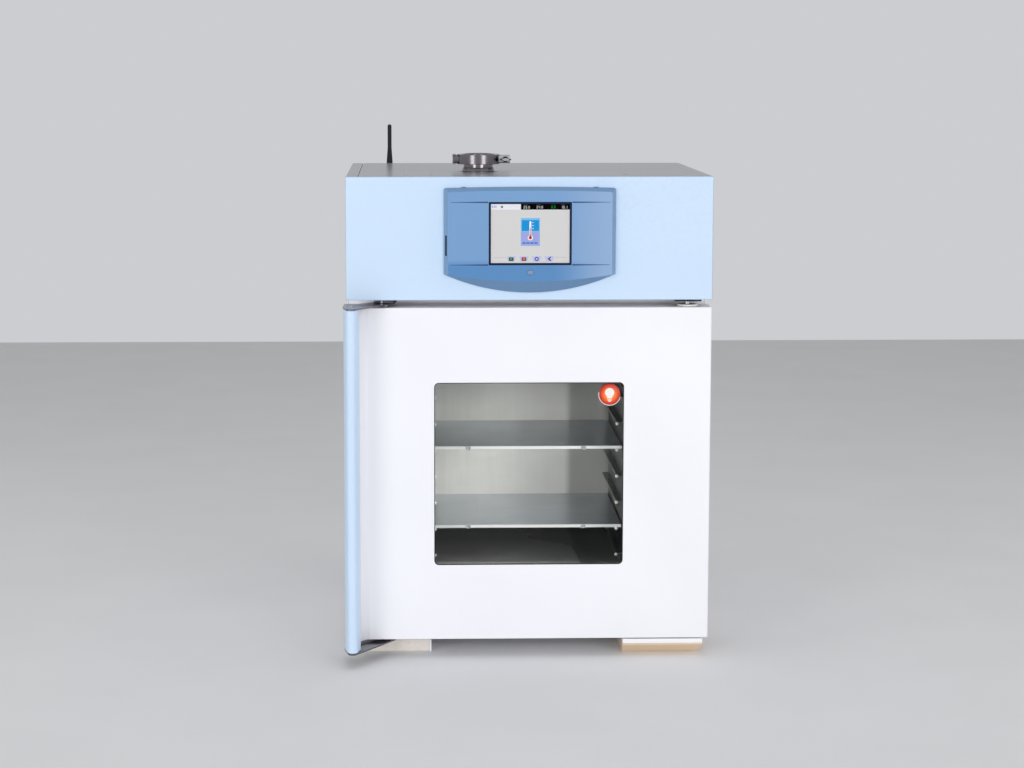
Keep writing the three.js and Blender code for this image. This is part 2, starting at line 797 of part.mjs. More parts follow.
function buildClamp() {
  const { rimBack } = ringProfile();
  const slope = coneHeight / (portFlangeRadius - portTubeRadius);
  const grooveRadius = portFlangeRadius + clampPlay;
  const grooveHalf = rimBack + seam;
  const lipHalf = grooveHalf + slope * (grooveRadius - clampLip);
  const profile = [
    [clampLip, -clampHalfHeight],
    [clampOuter - clampEdge, -clampHalfHeight],
    [clampOuter, -clampHalfHeight + clampEdge],
    [clampOuter, clampHalfHeight - clampEdge],
    [clampOuter - clampEdge, clampHalfHeight],
    [clampLip, clampHalfHeight],
    [clampLip, lipHalf],
    [grooveRadius, grooveHalf],
    [grooveRadius, -grooveHalf],
    [clampLip, -lipHalf],
  ];
  const middle = [portX, portY, portCentre];
  const ring = turned('z', middle, profile, clampSegments);
  const boltX = portX + boltOffset;
  const reach = clampOuter + earReach;
  const earRoot = clampLip + clampEdge;
  const low = portCentre - earHalfHeight;
  const high = portCentre + earHalfHeight;
  const bounds = [portCentre - clampHalfHeight - overrun, portCentre + clampHalfHeight + overrun];

  // sign is -1 for the half towards the front and 1 for the half towards the back
  const half = (sign) => {
    const across = (near, far) => [portY + sign * near, portY + sign * far].sort((a, b) => a - b);
    const keep = box([portX - 2 * reach, portX + 2 * reach], across(clampSplit / 2, 2 * reach), bounds);
    const ear = box([portX + earRoot, portX + reach], across(clampSplit, earDepth), [low, high]);
    const lugOuter = portX - clampOuter - lugReach + linkSheet;
    const lug = box([lugOuter, portX - earRoot], across(clampSplit, lugDepth), [low, high]);
    const bolt = disc('y', [boltX, portY, portCentre], boltRadius + boltPlay, [-reach, reach]);
    const hollow = disc('z', middle, grooveRadius, [-grooveHalf, grooveHalf], clampSegments);
    return cut(unite(ring.intersect(keep), cut(unite(ear, lug), hollow)), bolt);
  };
  addPiece('clamp_half_front', half(-1), 'aluminium');
  addPiece('clamp_half_rear', half(1), 'aluminium');

  const linkOuter = portX - clampOuter - lugReach;
  const tabReach = linkOuter + lugReach - linkSheet;
  const linkDepth = [portY - lugDepth, portY + lugDepth];
  const linkTop = high + seam;
  const linkLow = low - seam;
  const link = unite(
    box([linkOuter, linkOuter + linkSheet - seam], linkDepth, [linkLow - linkSheet, linkTop + linkSheet]),
    box([linkOuter, tabReach], linkDepth, [linkTop, linkTop + linkSheet]),
    box([linkOuter, tabReach], linkDepth, [linkLow - linkSheet, linkLow]),
  );
  addPiece('clamp_link', link, 'steel');

  const nutBack = -earDepth - seam;
  const nutFront = nutBack - nutHeight;
  const shank = [
    [0, nutFront - boltTail],
    [boltRadius, nutFront - boltTail],
    [boltRadius, earDepth + seam],
    [boltHeadRadius, earDepth + seam],
    [boltHeadRadius, earDepth + seam + boltHeadHeight],
    [0, earDepth + seam + boltHeadHeight],
  ];
  addPiece('clamp_bolt', turned('y', [boltX, portY, portCentre], shank, smallSegments), 'steel');

  const bore = boltRadius + boltPlay;
  const hub = tube('y', [boltX, portY, portCentre], bore, nutRadius, [nutFront, nutBack], smallSegments);
  const wings = [-1, 1].map((sign) => prism('z', [
    [boltX + sign * (bore + boltPlay), portY + nutBack - wingRoot],
    [boltX + sign * wingSpan, portY + nutFront - wingTip],
    [boltX + sign * wingSpan, portY + nutFront - wingHeight],
    [boltX + sign * (wingSpan - wingTip), portY + nutFront - wingHeight],
    [boltX + sign * (bore + boltPlay), portY + nutFront + wingRoot],
  ], [portCentre - wingRoot / 2, portCentre + wingRoot / 2]));
  addPiece('clamp_wing_nut', unite(hub, ...wings), 'steel');
}

// Operator panel: a moulded bezel round the screen, with the standby key below it
const bezelWidth = 252.4;
const bezelDrop = 16.5;
const bezelTop = bodyHeight - bezelDrop;
const bezelArch = 1.8;
const bezelSideHeight = 126.5;
const bezelSideLow = bezelTop - bezelSideHeight;
const bezelBelly = 27.1;
const bezelDepth = 14;
const bezelRim = 4;
const bevelSide = 6;
const bevelTop = 5;
const bevelBottom = 17;
const bezelWall = 3;
const bezelChamfer = 3;
const bandLowDrop = 111.9;
const bandHighDrop = 20.1;
const bandDepth = 1.2;
const screenWidth = 115.2;
const screenHeight = 86.4;
const screenDrop = 66;
const screenMiddle = bezelTop - screenDrop;
const screenBorder = 3;
const screenRecess = 1.6;
const moduleDepth = 8;
const keyWidth = 8.6;
const keyHeight = 6.8;
const keyDrop = 123.1;
const keyMiddle = bezelTop - keyDrop;
const keyPlay = 0.3;
const keyProud = 1;
const keyFlange = 2;
const keyFlangeDepth = 1.8;
const slotWidth = 2;
const slotHeight = 30;
const slotDrop = 83.9;
const slotDepth = 6;
const bellySteps = 20;
const crownSteps = 8;
const ovalSteps = 6;

function bezelOutline(side, top, bottom) {
  const half = bezelWidth / 2 - side;
  const belly = arch(half, bezelSideLow, -(bezelBelly - bottom), bellySteps);
  const crown = arch(half - bezelChamfer, bezelTop - top, bezelArch, crownSteps).reverse();
  return [
    ...belly,
    [half, bezelTop - top - bezelChamfer],
    ...crown,
    [-half, bezelTop - top - bezelChamfer],
  ];
}

function ovalAt(middle, width, height) {
  return centredRect(width, height, middle, (height - keyPlay) / 2, ovalSteps);
}

function buildOperatorPanel() {
  const back = -seam;
  const face = -bezelDepth;
  const outer = bezelOutline(0, 0, 0);
  const inner = bezelOutline(bevelSide, bevelTop, bevelBottom);
  const hollow = bezelOutline(bevelSide + bezelWall, bevelTop + bezelWall, bevelBottom + bezelWall);
  const shell = loftAlongY([
    { y: back, points: outer },
    { y: -bezelRim, points: outer },
    { y: face, points: inner },
  ]);
  const pocket = prism('y', hollow, [face + bezelWall, overrun]);
  const bandHalf = bezelWidth / 2 - bevelSide;
  const band = box(
    [-bandHalf, bandHalf],
    [face - overrun, face + bandDepth],
    [bezelTop - bandLowDrop, bezelTop - bandHighDrop],
  );
  const windowHalf = screenWidth / 2 + seam + seam;
  const window = box(
    [-windowHalf, windowHalf],
    [face - overrun, face + bezelWall + overrun],
    [screenMiddle - screenHeight / 2 - 2 * seam, screenMiddle + screenHeight / 2 + 2 * seam],
  );
  const keyHole = prism(
    'y',
    ovalAt(keyMiddle, keyWidth + 2 * keyPlay, keyHeight + 2 * keyPlay),
    [face - overrun, face + bezelWall + overrun],
  );
  const slotX = -bezelWidth / 2 + bevelSide / 2;
  const slotMiddle = bezelTop - slotDrop;
  const slot = box(
    [slotX - slotWidth / 2, slotX + slotWidth / 2],
    [face - overrun, -bezelRim - bevelSide / 2 + slotDepth],
    [slotMiddle - slotHeight / 2, slotMiddle + slotHeight / 2],
  );
  addPiece('panel_bezel', cut(shell, pocket, band, window, keyHole, slot), 'bezelBlue');

  const moduleFront = face + bezelWall + seam;
  const screenHalf = screenWidth / 2 + seam;
  const screen = unite(
    box(
      [-screenHalf - screenBorder, screenHalf + screenBorder],
      [moduleFront, moduleFront + moduleDepth],
      [screenMiddle - screenHeight / 2 - screenBorder, screenMiddle + screenHeight / 2 + screenBorder],
    ),
    box(
      [-screenHalf, screenHalf],
      [face + screenRecess, moduleFront + moduleDepth / 2],
      [screenMiddle - screenHeight / 2 - seam, screenMiddle + screenHeight / 2 + seam],
    ),
  );
  addPiece('display_screen', screen, 'screen');

  const keyFront = face - keyProud;
  const key = unite(
    prism('y', ovalAt(keyMiddle, keyWidth, keyHeight), [keyFront, moduleFront + keyFlangeDepth]),
    prism(
      'y',
      ovalAt(keyMiddle, keyWidth + keyFlange, keyHeight + keyFlange),
      [moduleFront, moduleFront + keyFlangeDepth],
    ),
  );
  addPiece('standby_key', key, 'aluminium');
}

// Pieces inside the head
const boardThickness = 1.6;
const boardWidth = 200;
const boardDepth = 130;
const boardInset = 150;
const boardX = halfWidth - boardInset;
const boardY = 110;
const standoffHeight = 8;
const standoffRadius = 4;
const supplyWidth = 110;
const supplyDepth = 60;
const supplyHeight = 42;
const supplyInset = 70;
const supplyX = -halfWidth + supplyInset;
const supplyBackInset = 160;
const supplyY = bodyDepth - supplyBackInset;
const sensorRadius = 14;
const sensorHeight = 46;
const sensorHead = 9;
const sensorX = 20;
const sensorBackInset = 100;
const sensorY = bodyDepth - sensorBackInset;

function buildHeadPieces() {
  const floor = headBottom + sheet + seam;
  const boardLow = floor + standoffHeight;
  const board = box(
    [boardX - boardWidth / 2, boardX + boardWidth / 2],
    [boardY - boardDepth / 2, boardY + boardDepth / 2],
    [boardLow, boardLow + boardThickness],
  );
  const standoffs = [-1, 1].flatMap((i) => [-1, 1].map((j) => disc(
    'z',
    [
      boardX + i * (boardWidth / 2 - 2 * standoffRadius),
      boardY + j * (boardDepth / 2 - 2 * standoffRadius),
      floor,
    ],
    standoffRadius,
    [0, standoffHeight + boardThickness / 2],
    standoffSegments,
  )));
  addPiece('controller_board', unite(board, ...standoffs), 'board');

  const supply = box(
    [supplyX, supplyX + supplyWidth],
    [supplyY, supplyY + supplyDepth],
    [floor, floor + supplyHeight],
  );
  addPiece('power_supply', supply, 'aluminium');

  const sensor = turned('z', [sensorX, sensorY, floor], [
    [0, 0],
    [sensorRadius, 0],
    [sensorRadius, sensorHeight - sensorHead],
    [sensorRadius - sensorHead, sensorHeight],
    [0, sensorHeight],
  ], smallSegments);
  addPiece('pressure_sensor', sensor, 'steel');
}

// Rear fittings: vacuum line with its valve, gas inlet, mains inlet with rocker, data socket, aerial
const smallFlangeRadius = 15;
const smallFlangeRim = 2;
const smallFlangeCone = 2;
const valveWidth = 36;
const valveDepth = 30;
const valveHeight = 58;
const valveDrop = 16;
const valveBackGap = 12;
const barbLength = 18;
const barbRadius = 5;
const barbStep = 5;
const barbBore = 1.5;
const nutFace = 7;
const inletFlange = 6;
const inletFlangeThickness = 2.5;
const inletBodyDepth = 18;
const inletCavityWidth = 22;
const inletCavityHeight = 16;
const inletCavityDepth = 15;
const inletPinWidth = 4;
const inletPinThickness = 2;
const inletPinLength = 10;
const inletPinPitch = 6.4;
const inletWall = 2;
const rockerWidth = 13;
const rockerHeight = 18;
const rockerTilt = 7;
const rockerThickness = 5;
const rockerCrown = 1.6;
const rockerPlay = 0.7;
const socketFlange = 3;
const socketDepth = 14;
const socketWall = 1.5;

function buildVacuumLine() {
  const start = chamberBack;
  const length = bodyDepth + rearReach - start;
  const bore = vacuumPipeRadius - vacuumPipeWall;
  const pipe = [
    [bore, 0],
    [vacuumPipeRadius, 0],
    [vacuumPipeRadius, length - smallFlangeRim - smallFlangeCone],
    [smallFlangeRadius, length - smallFlangeRim],
    [smallFlangeRadius, length],
    [bore, length],
  ];
  addPiece('vacuum_pipe', turned('y', [vacuumX, start, vacuumZ], pipe, pipeSegments), 'steel');

  const valveBack = bodyDepth - sheet - valveBackGap;
  const valve = cut(
    box(
      [vacuumX - valveWidth / 2, vacuumX + valveWidth / 2],
      [valveBack - valveDepth, valveBack],
      [vacuumZ - valveDrop, vacuumZ - valveDrop + valveHeight],
    ),
    disc(
      'y',
      [vacuumX, valveBack, vacuumZ],
      vacuumPipeRadius + seam,
      [-valveDepth - overrun, overrun],
      pipeSegments,
    ),
  );
  addPiece('vacuum_valve', valve, 'plastic');

  const gasLength = bodyDepth - start;
  const root = gasLength + nutFace;
  const barb = [
    [0, 0],
    [gasPipeRadius, 0],
    [gasPipeRadius, gasLength + seam],
    [nutFace, gasLength + seam],
    [nutFace, root],
  ];
  for (let step = root; step + barbStep < root + barbLength; step += barbStep) {
    barb.push([barbRadius, step], [gasPipeRadius, step + barbStep]);
  }
  barb.push([barbBore, root + barbLength - barbStep + seam]);
  barb.push([barbBore, root]);
  barb.push([0, root]);
  addPiece('gas_inlet_pipe', turned('y', [gasX, start, vacuumZ], barb, smallSegments), 'steel');
}

function buildMainsInlet() {
  const half = inletBodyWidth / 2;
  const halfHigh = inletBodyHeight / 2;
  const face = bodyDepth + seam + inletFlangeThickness;
  const cavityLeft = inletX - half + inletWall;
  const cavityMiddle = cavityLeft + inletCavityWidth / 2;
  const cavityBack = face - inletCavityDepth;
  const pocketLeft = cavityLeft + inletCavityWidth + inletWall;
  const rockerMiddle = pocketLeft + rockerWidth / 2 + rockerPlay;
  const body = unite(
    box(
      [inletX - half, inletX + half],
      [face - inletBodyDepth, face],
      [inletZ - halfHigh, inletZ + halfHigh],
    ),
    box(
      [inletX - half - inletFlange, inletX + half + inletFlange],
      [bodyDepth + seam, face],
      [inletZ - halfHigh - inletWall, inletZ + halfHigh + inletWall],
    ),
  );
  const cavity = box(
    [cavityLeft, cavityLeft + inletCavityWidth],
    [cavityBack, face + overrun],
    [inletZ - inletCavityHeight / 2, inletZ + inletCavityHeight / 2],
  );
  const pocket = box(
    [pocketLeft, pocketLeft + rockerWidth + 2 * rockerPlay],
    [face - rockerThickness * 2, face + overrun],
    [inletZ - rockerHeight / 2 - rockerPlay, inletZ + rockerHeight / 2 + rockerPlay],
  );
  const pins = [-1, 0, 1].map((i) => box(
    [
      cavityMiddle + i * inletPinPitch - inletPinThickness / 2,
      cavityMiddle + i * inletPinPitch + inletPinThickness / 2,
    ],
    [cavityBack - inletWall, cavityBack + inletPinLength],
    [inletZ - inletPinWidth / 2, inletZ + inletPinWidth / 2],
  ));
  addPiece('power_inlet', unite(cut(body, cavity, pocket), ...pins), 'plastic');

  // Two facets that meet at the middle; at rest the upper one is pressed in
  const tiltDrop = Math.tan(THREE.MathUtils.degToRad(rockerTilt)) * (rockerHeight / 2);
  const rocker = prism('x', [
    [-rockerThickness / 2, -rockerHeight / 2],
    [tiltDrop, -rockerHeight / 2],
    [0, 0],
    [tiltDrop, rockerHeight / 2],
    [-rockerThickness / 2, rockerHeight / 2],
    [-rockerThickness / 2 - rockerCrown, 0],
  ], [-rockerWidth / 2, rockerWidth / 2]);
  const mesh = addPiece('mains_rocker', rocker, 'signalRed');
  mesh.position.set(rockerMiddle, face, inletZ);
  mesh.rotation.x = THREE.MathUtils.degToRad(rockerTilt);
}

function buildDataSocket() {
  const halfWide = socketWidth / 2;
  const halfHigh = socketHeight / 2;
  const face = bodyDepth + seam + sheet;
  const socket = cut(
    unite(
      box(
        [socketX - halfWide, socketX + halfWide],
        [face - socketDepth, face],
        [socketZ - halfHigh, socketZ + halfHigh],
      ),
      box(
        [socketX - halfWide - socketFlange, socketX + halfWide + socketFlange],
        [bodyDepth + seam, face],
        [socketZ - halfHigh - socketFlange, socketZ + halfHigh + socketFlange],
      ),
    ),
    box(
      [socketX - halfWide + socketWall, socketX + halfWide - socketWall],
      [face - socketDepth + socketWall, face + overrun],
      [socketZ - halfHigh + socketWall, socketZ + halfHigh - socketWall],
    ),
  );
  addPiece('data_socket', socket, 'plastic');
}

const aerialNutRadius = 5.5;
const aerialNutHeight = 3;
const knuckleRadius = 5;
const knuckleLength = 5;
const knuckleCheek = 1.7;
const knuckleReach = 9;
const aerialRootRadius = 5;
const aerialTipRadius = 3.5;
const aerialLength = 88;
const aerialEye = 3.8;
const aerialTaper = 26;
const aerialPinOffset = 5.5;
const threadInside = 8;

function buildAerial() {
  const connector = turned('y', [antennaX, bodyDepth, antennaZ], [
    [0, -threadInside],
    [antennaThreadRadius, -threadInside],
    [antennaThreadRadius, seam],
    [aerialNutRadius, seam],
    [aerialNutRadius, aerialNutHeight],
    [0, aerialNutHeight],
  ], smallSegments);
  addPiece('antenna_connector', connector, 'steel');

  const knuckleStart = bodyDepth + aerialNutHeight + seam;
  const forkStart = knuckleStart + knuckleLength;
  const pinY = forkStart + aerialPinOffset;
  const forkEnd = forkStart + knuckleReach;
  const barrel = disc('y', [antennaX, knuckleStart, antennaZ], knuckleRadius, [0, knuckleLength]);
  const cheeks = [-1, 1].map((sign) => {
    const near = antennaX + sign * (knuckleRadius - knuckleCheek);
    const far = antennaX + sign * knuckleRadius;
    return box(
      [Math.min(near, far), Math.max(near, far)],
      [forkStart - sheet, forkEnd],
      [antennaZ - knuckleRadius / 2, antennaZ + knuckleRadius / 2],
    );
  });
  addPiece('antenna_knuckle', unite(barrel, ...cheeks), 'plastic');

  const eyeHalf = knuckleRadius - knuckleCheek - seam;
  const eye = disc('x', [antennaX, pinY, antennaZ], aerialEye, [-eyeHalf, eyeHalf]);
  const rodStart = knuckleRadius;
  const rod = turned('z', [antennaX, pinY, antennaZ], [
    [0, aerialEye / 2],
    [eyeHalf, aerialEye / 2],
    [eyeHalf, rodStart],
    [aerialRootRadius, rodStart + seam],
    [aerialTipRadius, rodStart + aerialTaper],
    [aerialTipRadius, aerialLength - aerialTipRadius / 2],
    [aerialTipRadius / 2, aerialLength],
    [0, aerialLength],
  ], smallSegments);
  addPiece('antenna_rod', unite(eye, rod), 'blackRubber');
}

// Hinges
const bracketWidth = 40;
const bracketThickness = 6.2;
const bracketFront = 6;
const hingeDiscRadius = 15.5;
const hingeDiscHeight = 2.5;
const pinEngagement = 14;
const pinPlay = 0.3;
const hingePlateTop = 24.9;
const hingePlateInset = 4;
const washerRadius = 12;

function buildHinges() {
  const bracketTop = headBottom - seam;
  const bracketLow = bracketTop - bracketThickness;
  const bracket = cut(
    box(
      [hingeX - bracketWidth / 2, hingeX + bracketWidth / 2],
      [bracketFront, bodyFront - seam],
      [bracketLow, bracketTop],
    ),
    disc(
      'z',
      [hingeX, hingeY, bracketLow],
      hingePinRadius + pinPlay,
      [-overrun, bracketThickness + overrun],
    ),
  );
  addPiece('upper_hinge_bracket', bracket, 'blackSteel');
  const upperPin = disc('z', [hingeX, hingeY, 0], hingePinRadius, [doorTop - pinEngagement, bracketTop]);
  addPiece('upper_hinge_pin', upperPin, 'steel');

  const plateLow = skidHeight + seam;
  const plate = cut(
    box([skidInner, skidOuter], [rightSkidFront, bodyFront - seam], [plateLow, hingePlateTop]),
    disc('z', [hingeX, hingeY, plateLow], hingePinRadius + pinPlay, [-overrun, hingePlateTop]),
  );
  addPiece('lower_hinge_plate', plate, 'white');
  const washerTop = doorBottom - seam;
  const lowerPin = turned('z', [hingeX, hingeY, 0], [
    [0, plateLow],
    [hingePinRadius, plateLow],
    [hingePinRadius, hingePlateTop + seam],
    [washerRadius, hingePlateTop + seam],
    [washerRadius, washerTop],
    [hingePinRadius, washerTop],
    [hingePinRadius, doorBottom + pinEngagement],
    [0, doorBottom + pinEngagement],
  ], smallSegments);
  addPiece('lower_hinge_pin', lowerPin, 'steel');
}

// Door: outer pan with a forward lip at the handle side, window, glass and inner frame
const paneMargin = 9;
const paneThickness = 4;
const surroundGap = 14;
const surroundWall = 1.5;
const innerFrameInset = 30;
const innerFrameSheet = 2;
const innerFrameLeft = 4;
const innerFrameDepth = 21;
const innerFrameEdge = 2;
const glassCorner = 12;
const glassPlay = 2;
const lightKeyInset = 21.4;
const lightKeyDrop = 18.35;
const lightKeyRadius = 16.5;
const lightKeyHeight = 1.2;
const shaftRadius = 6;
const shaftPlay = 0.5;

function buildDoor() {
  const lipFront = -sweepRadius;
  const outline = [
    [halfWidth, doorPanDepth],
    ...arc([halfWidth - doorCorner, doorCorner], doorCorner, 0, -90, cornerSteps),
    ...arc([-doorLeft + doorSheet + sweepRadius, lipFront], sweepRadius, 90, 180, sweepSteps),
    [-doorLeft, lipFront],
    [-doorLeft, doorPanDepth],
  ];
  const hollow = box(
    [-doorLeft + doorSheet, halfWidth - doorSheet],
    [doorSheet, doorPanDepth + overrun],
    [doorBottom + doorSheet, doorTop - doorSheet],
  );
  const windowCut = prism(
    'y',
    centredRect(windowWidth, windowHeight, windowCentre, windowCorner),
    [-overrun, doorSheet + overrun],
  );
  const through = [doorBottom - overrun, doorTop + overrun];
  const pan = cut(
    prism('z', outline, [doorBottom, doorTop]),
    hollow,
    windowCut,
    disc('z', [hingeX, hingeY, 0], hingePinRadius + pinPlay, through),
    disc('z', [leverPivotX, leverPivotY, 0], shaftRadius + shaftPlay, through),
  );
  addPiece('door_panel', pan, 'white');

  const paneBack = doorSheet + seam + paneThickness;
  const pane = prism(
    'y',
    centredRect(
      windowWidth + 2 * paneMargin,
      windowHeight + 2 * paneMargin,
      windowCentre,
      windowCorner,
    ),
    [doorSheet + seam, paneBack],
  );
  addPiece('window_pane', pane, 'glass');

  // The glass lies on a ledge that is folded into the inner frame.
  const glassFront = glassBack - glassThickness;
  const ledgeBack = glassFront - seam;
  const ledgeFront = ledgeBack - innerFrameSheet;
  const surroundWidth = windowWidth + 2 * surroundGap;
  const surroundHeight = windowHeight + 2 * surroundGap;
  const surround = prism(
    'y',
    centredRect(
      surroundWidth + 2 * surroundWall,
      surroundHeight + 2 * surroundWall,
      windowCentre,
      windowCorner + surroundWall,
    ),
    [doorSheet + seam, ledgeFront - seam],
    [centredRect(surroundWidth, surroundHeight, windowCentre, windowCorner)],
  );
  addPiece('window_surround', surround, 'white');

  const keyPlace = [
    windowWidth / 2 - lightKeyInset,
    doorSheet,
    windowCentre + windowHeight / 2 - lightKeyDrop,
  ];
  const key = disc('y', keyPlace, lightKeyRadius, [-lightKeyHeight, 0], roundSegments);
  addPiece('light_key', key, 'signalRed');

  const glassWidth = chamberWidth + 2 * glassMargin;
  const glassHeight = chamberHeight + 2 * glassMargin;
  const glass = prism(
    'y',
    centredRect(glassWidth, glassHeight, chamberMiddle, glassCorner),
    [glassFront, glassBack],
  );
  addPiece('vacuum_glass', glass, 'glass');

  const frameFront = doorPanDepth + seam;
  const frameBack = frameFront + innerFrameDepth;
  const frameOutline = (inset) => roundedRect(
    [-doorLeft + innerFrameLeft + inset, halfWidth - innerFrameInset - inset],
    [doorBottom + innerFrameEdge + inset, doorTop - innerFrameEdge - inset],
    innerFrameEdge,
    smallCornerSteps,
  );
  const seatOutline = (grow) => centredRect(
    glassWidth + 2 * grow,
    glassHeight + 2 * grow,
    chamberMiddle,
    glassCorner + grow,
  );
  const opening = centredRect(surroundWidth, surroundHeight, windowCentre, windowCorner);
  const seatWall = seatOutline(glassPlay + innerFrameSheet);
  const innerFrame = cut(
    prism('y', frameOutline(0), [frameFront, frameBack]),
    prism('y', frameOutline(innerFrameSheet), [frameFront - overrun, ledgeFront]),
    prism(
      'y',
      frameOutline(innerFrameSheet),
      [ledgeFront - overrun, frameBack - innerFrameSheet],
      [seatWall],
    ),
    prism('y', seatOutline(glassPlay), [ledgeBack, frameBack + overrun]),
    prism('y', opening, [frameFront - overrun, ledgeBack + overrun]),
  );
  addPiece('door_inner_frame', innerFrame, 'white');

  const ring = tube(
    'z',
    [hingeX, hingeY, doorTop],
    hingePinRadius + pinPlay,
    hingeDiscRadius,
    [seam, seam + hingeDiscHeight],
  );
  addPiece('hinge_disc', ring, 'steel');
}

// Lever handle: a full-height bar on two arms that turn on a shaft inside the door's edge
const armHeelY = 3;
const bossRadius = 15;
const bossFrontShare = 0.6;
const bossStart = -20;
const bossEnd = 150;
const bossSteps = 10;
const armFrontInset = 52;
const noseRadius = 6;
const noseStart = 198;
const noseEnd = 342;
const noseSteps = 16;
const armNoseEnd = 324;
const armNoseSteps = 14;
const hookReach = 44;
const hookHalf = 5;
const keeperWidth = 10;
const keeperDepth = 8;
const keeperPlay = 1.5;
const keeperHeight = 8;

const noseCentre = [barMiddleX, barNoseY + noseRadius];

function barOutline(grow) {
  return [
    [barRightX + grow, barFlankY],
    [barRightX + grow, barBackY + grow],
    [barLeftX - grow, barBackY + grow],
    [barLeftX - grow, barFlankY],
    ...arc(noseCentre, noseRadius + grow, noseStart, noseEnd, noseSteps),
  ];
}

function armSolid(low) {
  const outline = [
    [-doorLeft + armFrontInset, leverPivotY - bossRadius * bossFrontShare],
    ...arc([leverPivotX, leverPivotY], bossRadius, bossStart, bossEnd, bossSteps),
    [-doorLeft, armHeelY],
    [barLeftX, armHeelY],
    [barLeftX - armLip, barBackY],
    ...arc(noseCentre, noseRadius + armLip, noseStart, armNoseEnd, armNoseSteps),
  ];
  const hook = [
    [leverPivotX - hookHalf, leverPivotY],
    [leverPivotX + hookHalf, leverPivotY],
    [leverPivotX + hookHalf, leverPivotY + hookReach - keeperDepth],
    [leverPivotX - hookHalf, leverPivotY + hookReach],
  ];
  return cut(
    unite(
      prism('z', outline, [low, low + armThickness]),
      prism('z', hook, [low, low + armThickness]),
    ),
    disc('z', [leverPivotX, leverPivotY, low], shaftRadius - seam, [-overrun, armThickness + overrun]),
  );
}

function buildHandle() {
  const barLow = doorBottom - barOverhang;
  const barHigh = doorTop + barOverhang;
  const bar = prism('z', barOutline(0), [barLow, barHigh], [barOutline(-barWall)]);
  addPiece('handle_bar', bar, 'paleBlue');

  const topLow = barHigh + seam;
  const bottomLow = barLow - seam - armThickness;
  addPiece('handle_arm_top', armSolid(topLow), 'blackSteel');
  addPiece('handle_arm_bottom', armSolid(bottomLow), 'blackSteel');

  const stubRadius = shaftRadius - 2 * seam;
  const shaft = turned('z', [leverPivotX, leverPivotY, 0], [
    [0, bottomLow],
    [stubRadius, bottomLow],
    [stubRadius, bottomLow + armThickness + seam],
    [shaftRadius, bottomLow + armThickness + seam],
    [shaftRadius, topLow - seam],
    [stubRadius, topLow - seam],
    [stubRadius, topLow + armThickness],
    [0, topLow + armThickness],
  ], smallSegments);
  addPiece('handle_shaft', shaft, 'steel');

  const keeperX = leverPivotX + hookHalf + keeperPlay;
  const keeper = box(
    [keeperX, keeperX + keeperWidth],
    [bodyFront - seam - 2 * keeperDepth, bodyFront - seam],
    [headBottom - seam - keeperHeight, headBottom - seam],
  );
  addPiece('latch_keeper', keeper, 'blackSteel');
}

buildSkids();
buildBody();
buildRearPanel();
buildChamber();
buildRacksAndShelves();
buildPortFlanges();
buildClamp();
buildOperatorPanel();
buildHeadPieces();
buildVacuumLine();
buildMainsInlet();
buildDataSocket();
buildAerial();
buildHinges();
buildDoor();
buildHandle();

// The origin lies on the bench, midway between the outermost points of the oven.
const leftmost = barLeftX - armLip;
const frontmost = barNoseY - armLip;
const rearmost = bodyDepth + rearReach;
oven.position.set(-(leftmost + halfWidth) / 2, -(frontmost + rearmost) / 2, 0);
oven.updateMatrixWorld(true);

export default oven;
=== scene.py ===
import json
from math import cos, radians, sin, sqrt

import bmesh
import bpy
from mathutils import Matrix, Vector

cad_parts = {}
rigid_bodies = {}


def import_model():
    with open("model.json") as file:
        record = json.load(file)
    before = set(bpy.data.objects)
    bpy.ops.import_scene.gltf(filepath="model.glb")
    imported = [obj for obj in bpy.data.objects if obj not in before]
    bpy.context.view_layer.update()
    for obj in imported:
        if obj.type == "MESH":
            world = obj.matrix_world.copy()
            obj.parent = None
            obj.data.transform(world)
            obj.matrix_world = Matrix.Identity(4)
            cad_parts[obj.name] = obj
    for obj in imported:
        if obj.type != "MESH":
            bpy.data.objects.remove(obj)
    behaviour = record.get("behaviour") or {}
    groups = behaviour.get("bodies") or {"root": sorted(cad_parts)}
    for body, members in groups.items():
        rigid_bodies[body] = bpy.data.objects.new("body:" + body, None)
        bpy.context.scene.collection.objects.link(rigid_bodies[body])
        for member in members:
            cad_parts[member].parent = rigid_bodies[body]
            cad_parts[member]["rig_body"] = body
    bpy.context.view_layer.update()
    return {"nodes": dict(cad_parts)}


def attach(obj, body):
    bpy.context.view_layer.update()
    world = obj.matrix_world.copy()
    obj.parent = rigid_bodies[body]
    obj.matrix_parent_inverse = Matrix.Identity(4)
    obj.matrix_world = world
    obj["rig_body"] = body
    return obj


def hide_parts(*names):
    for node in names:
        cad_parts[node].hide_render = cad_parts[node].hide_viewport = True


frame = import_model()
print("frame loaded,", len(frame["nodes"]), "nodes")

# The oven is drawn in millimetres: X right of its middle plane, Y back from the fascia,
# Z up from the bench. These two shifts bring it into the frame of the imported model.
shiftX = 2.0
shiftY = -189.5


def place(x, y, z):
    return Vector(((x + shiftX) / 1000, (y + shiftY) / 1000, z / 1000))


# every shape below is a pair of vertices and faces, and every outline a list of points

def arcPoints(middleA, middleB, radius, start, end, steps):
    points = []
    for i in range(steps + 1):
        turn = radians(start + (end - start) * i / steps)
        points.append((middleA + radius * cos(turn), middleB + radius * sin(turn)))
    return points


def roundedRect(left, right, low, high, radius, steps=6):
    return (arcPoints(right - radius, low + radius, radius, -90, 0, steps)
            + arcPoints(right - radius, high - radius, radius, 0, 90, steps)
            + arcPoints(left + radius, high - radius, radius, 90, 180, steps)
            + arcPoints(left + radius, low + radius, radius, 180, 270, steps))


def square(left, right, low, high):
    return [(left, low), (right, low), (right, high), (left, high)]


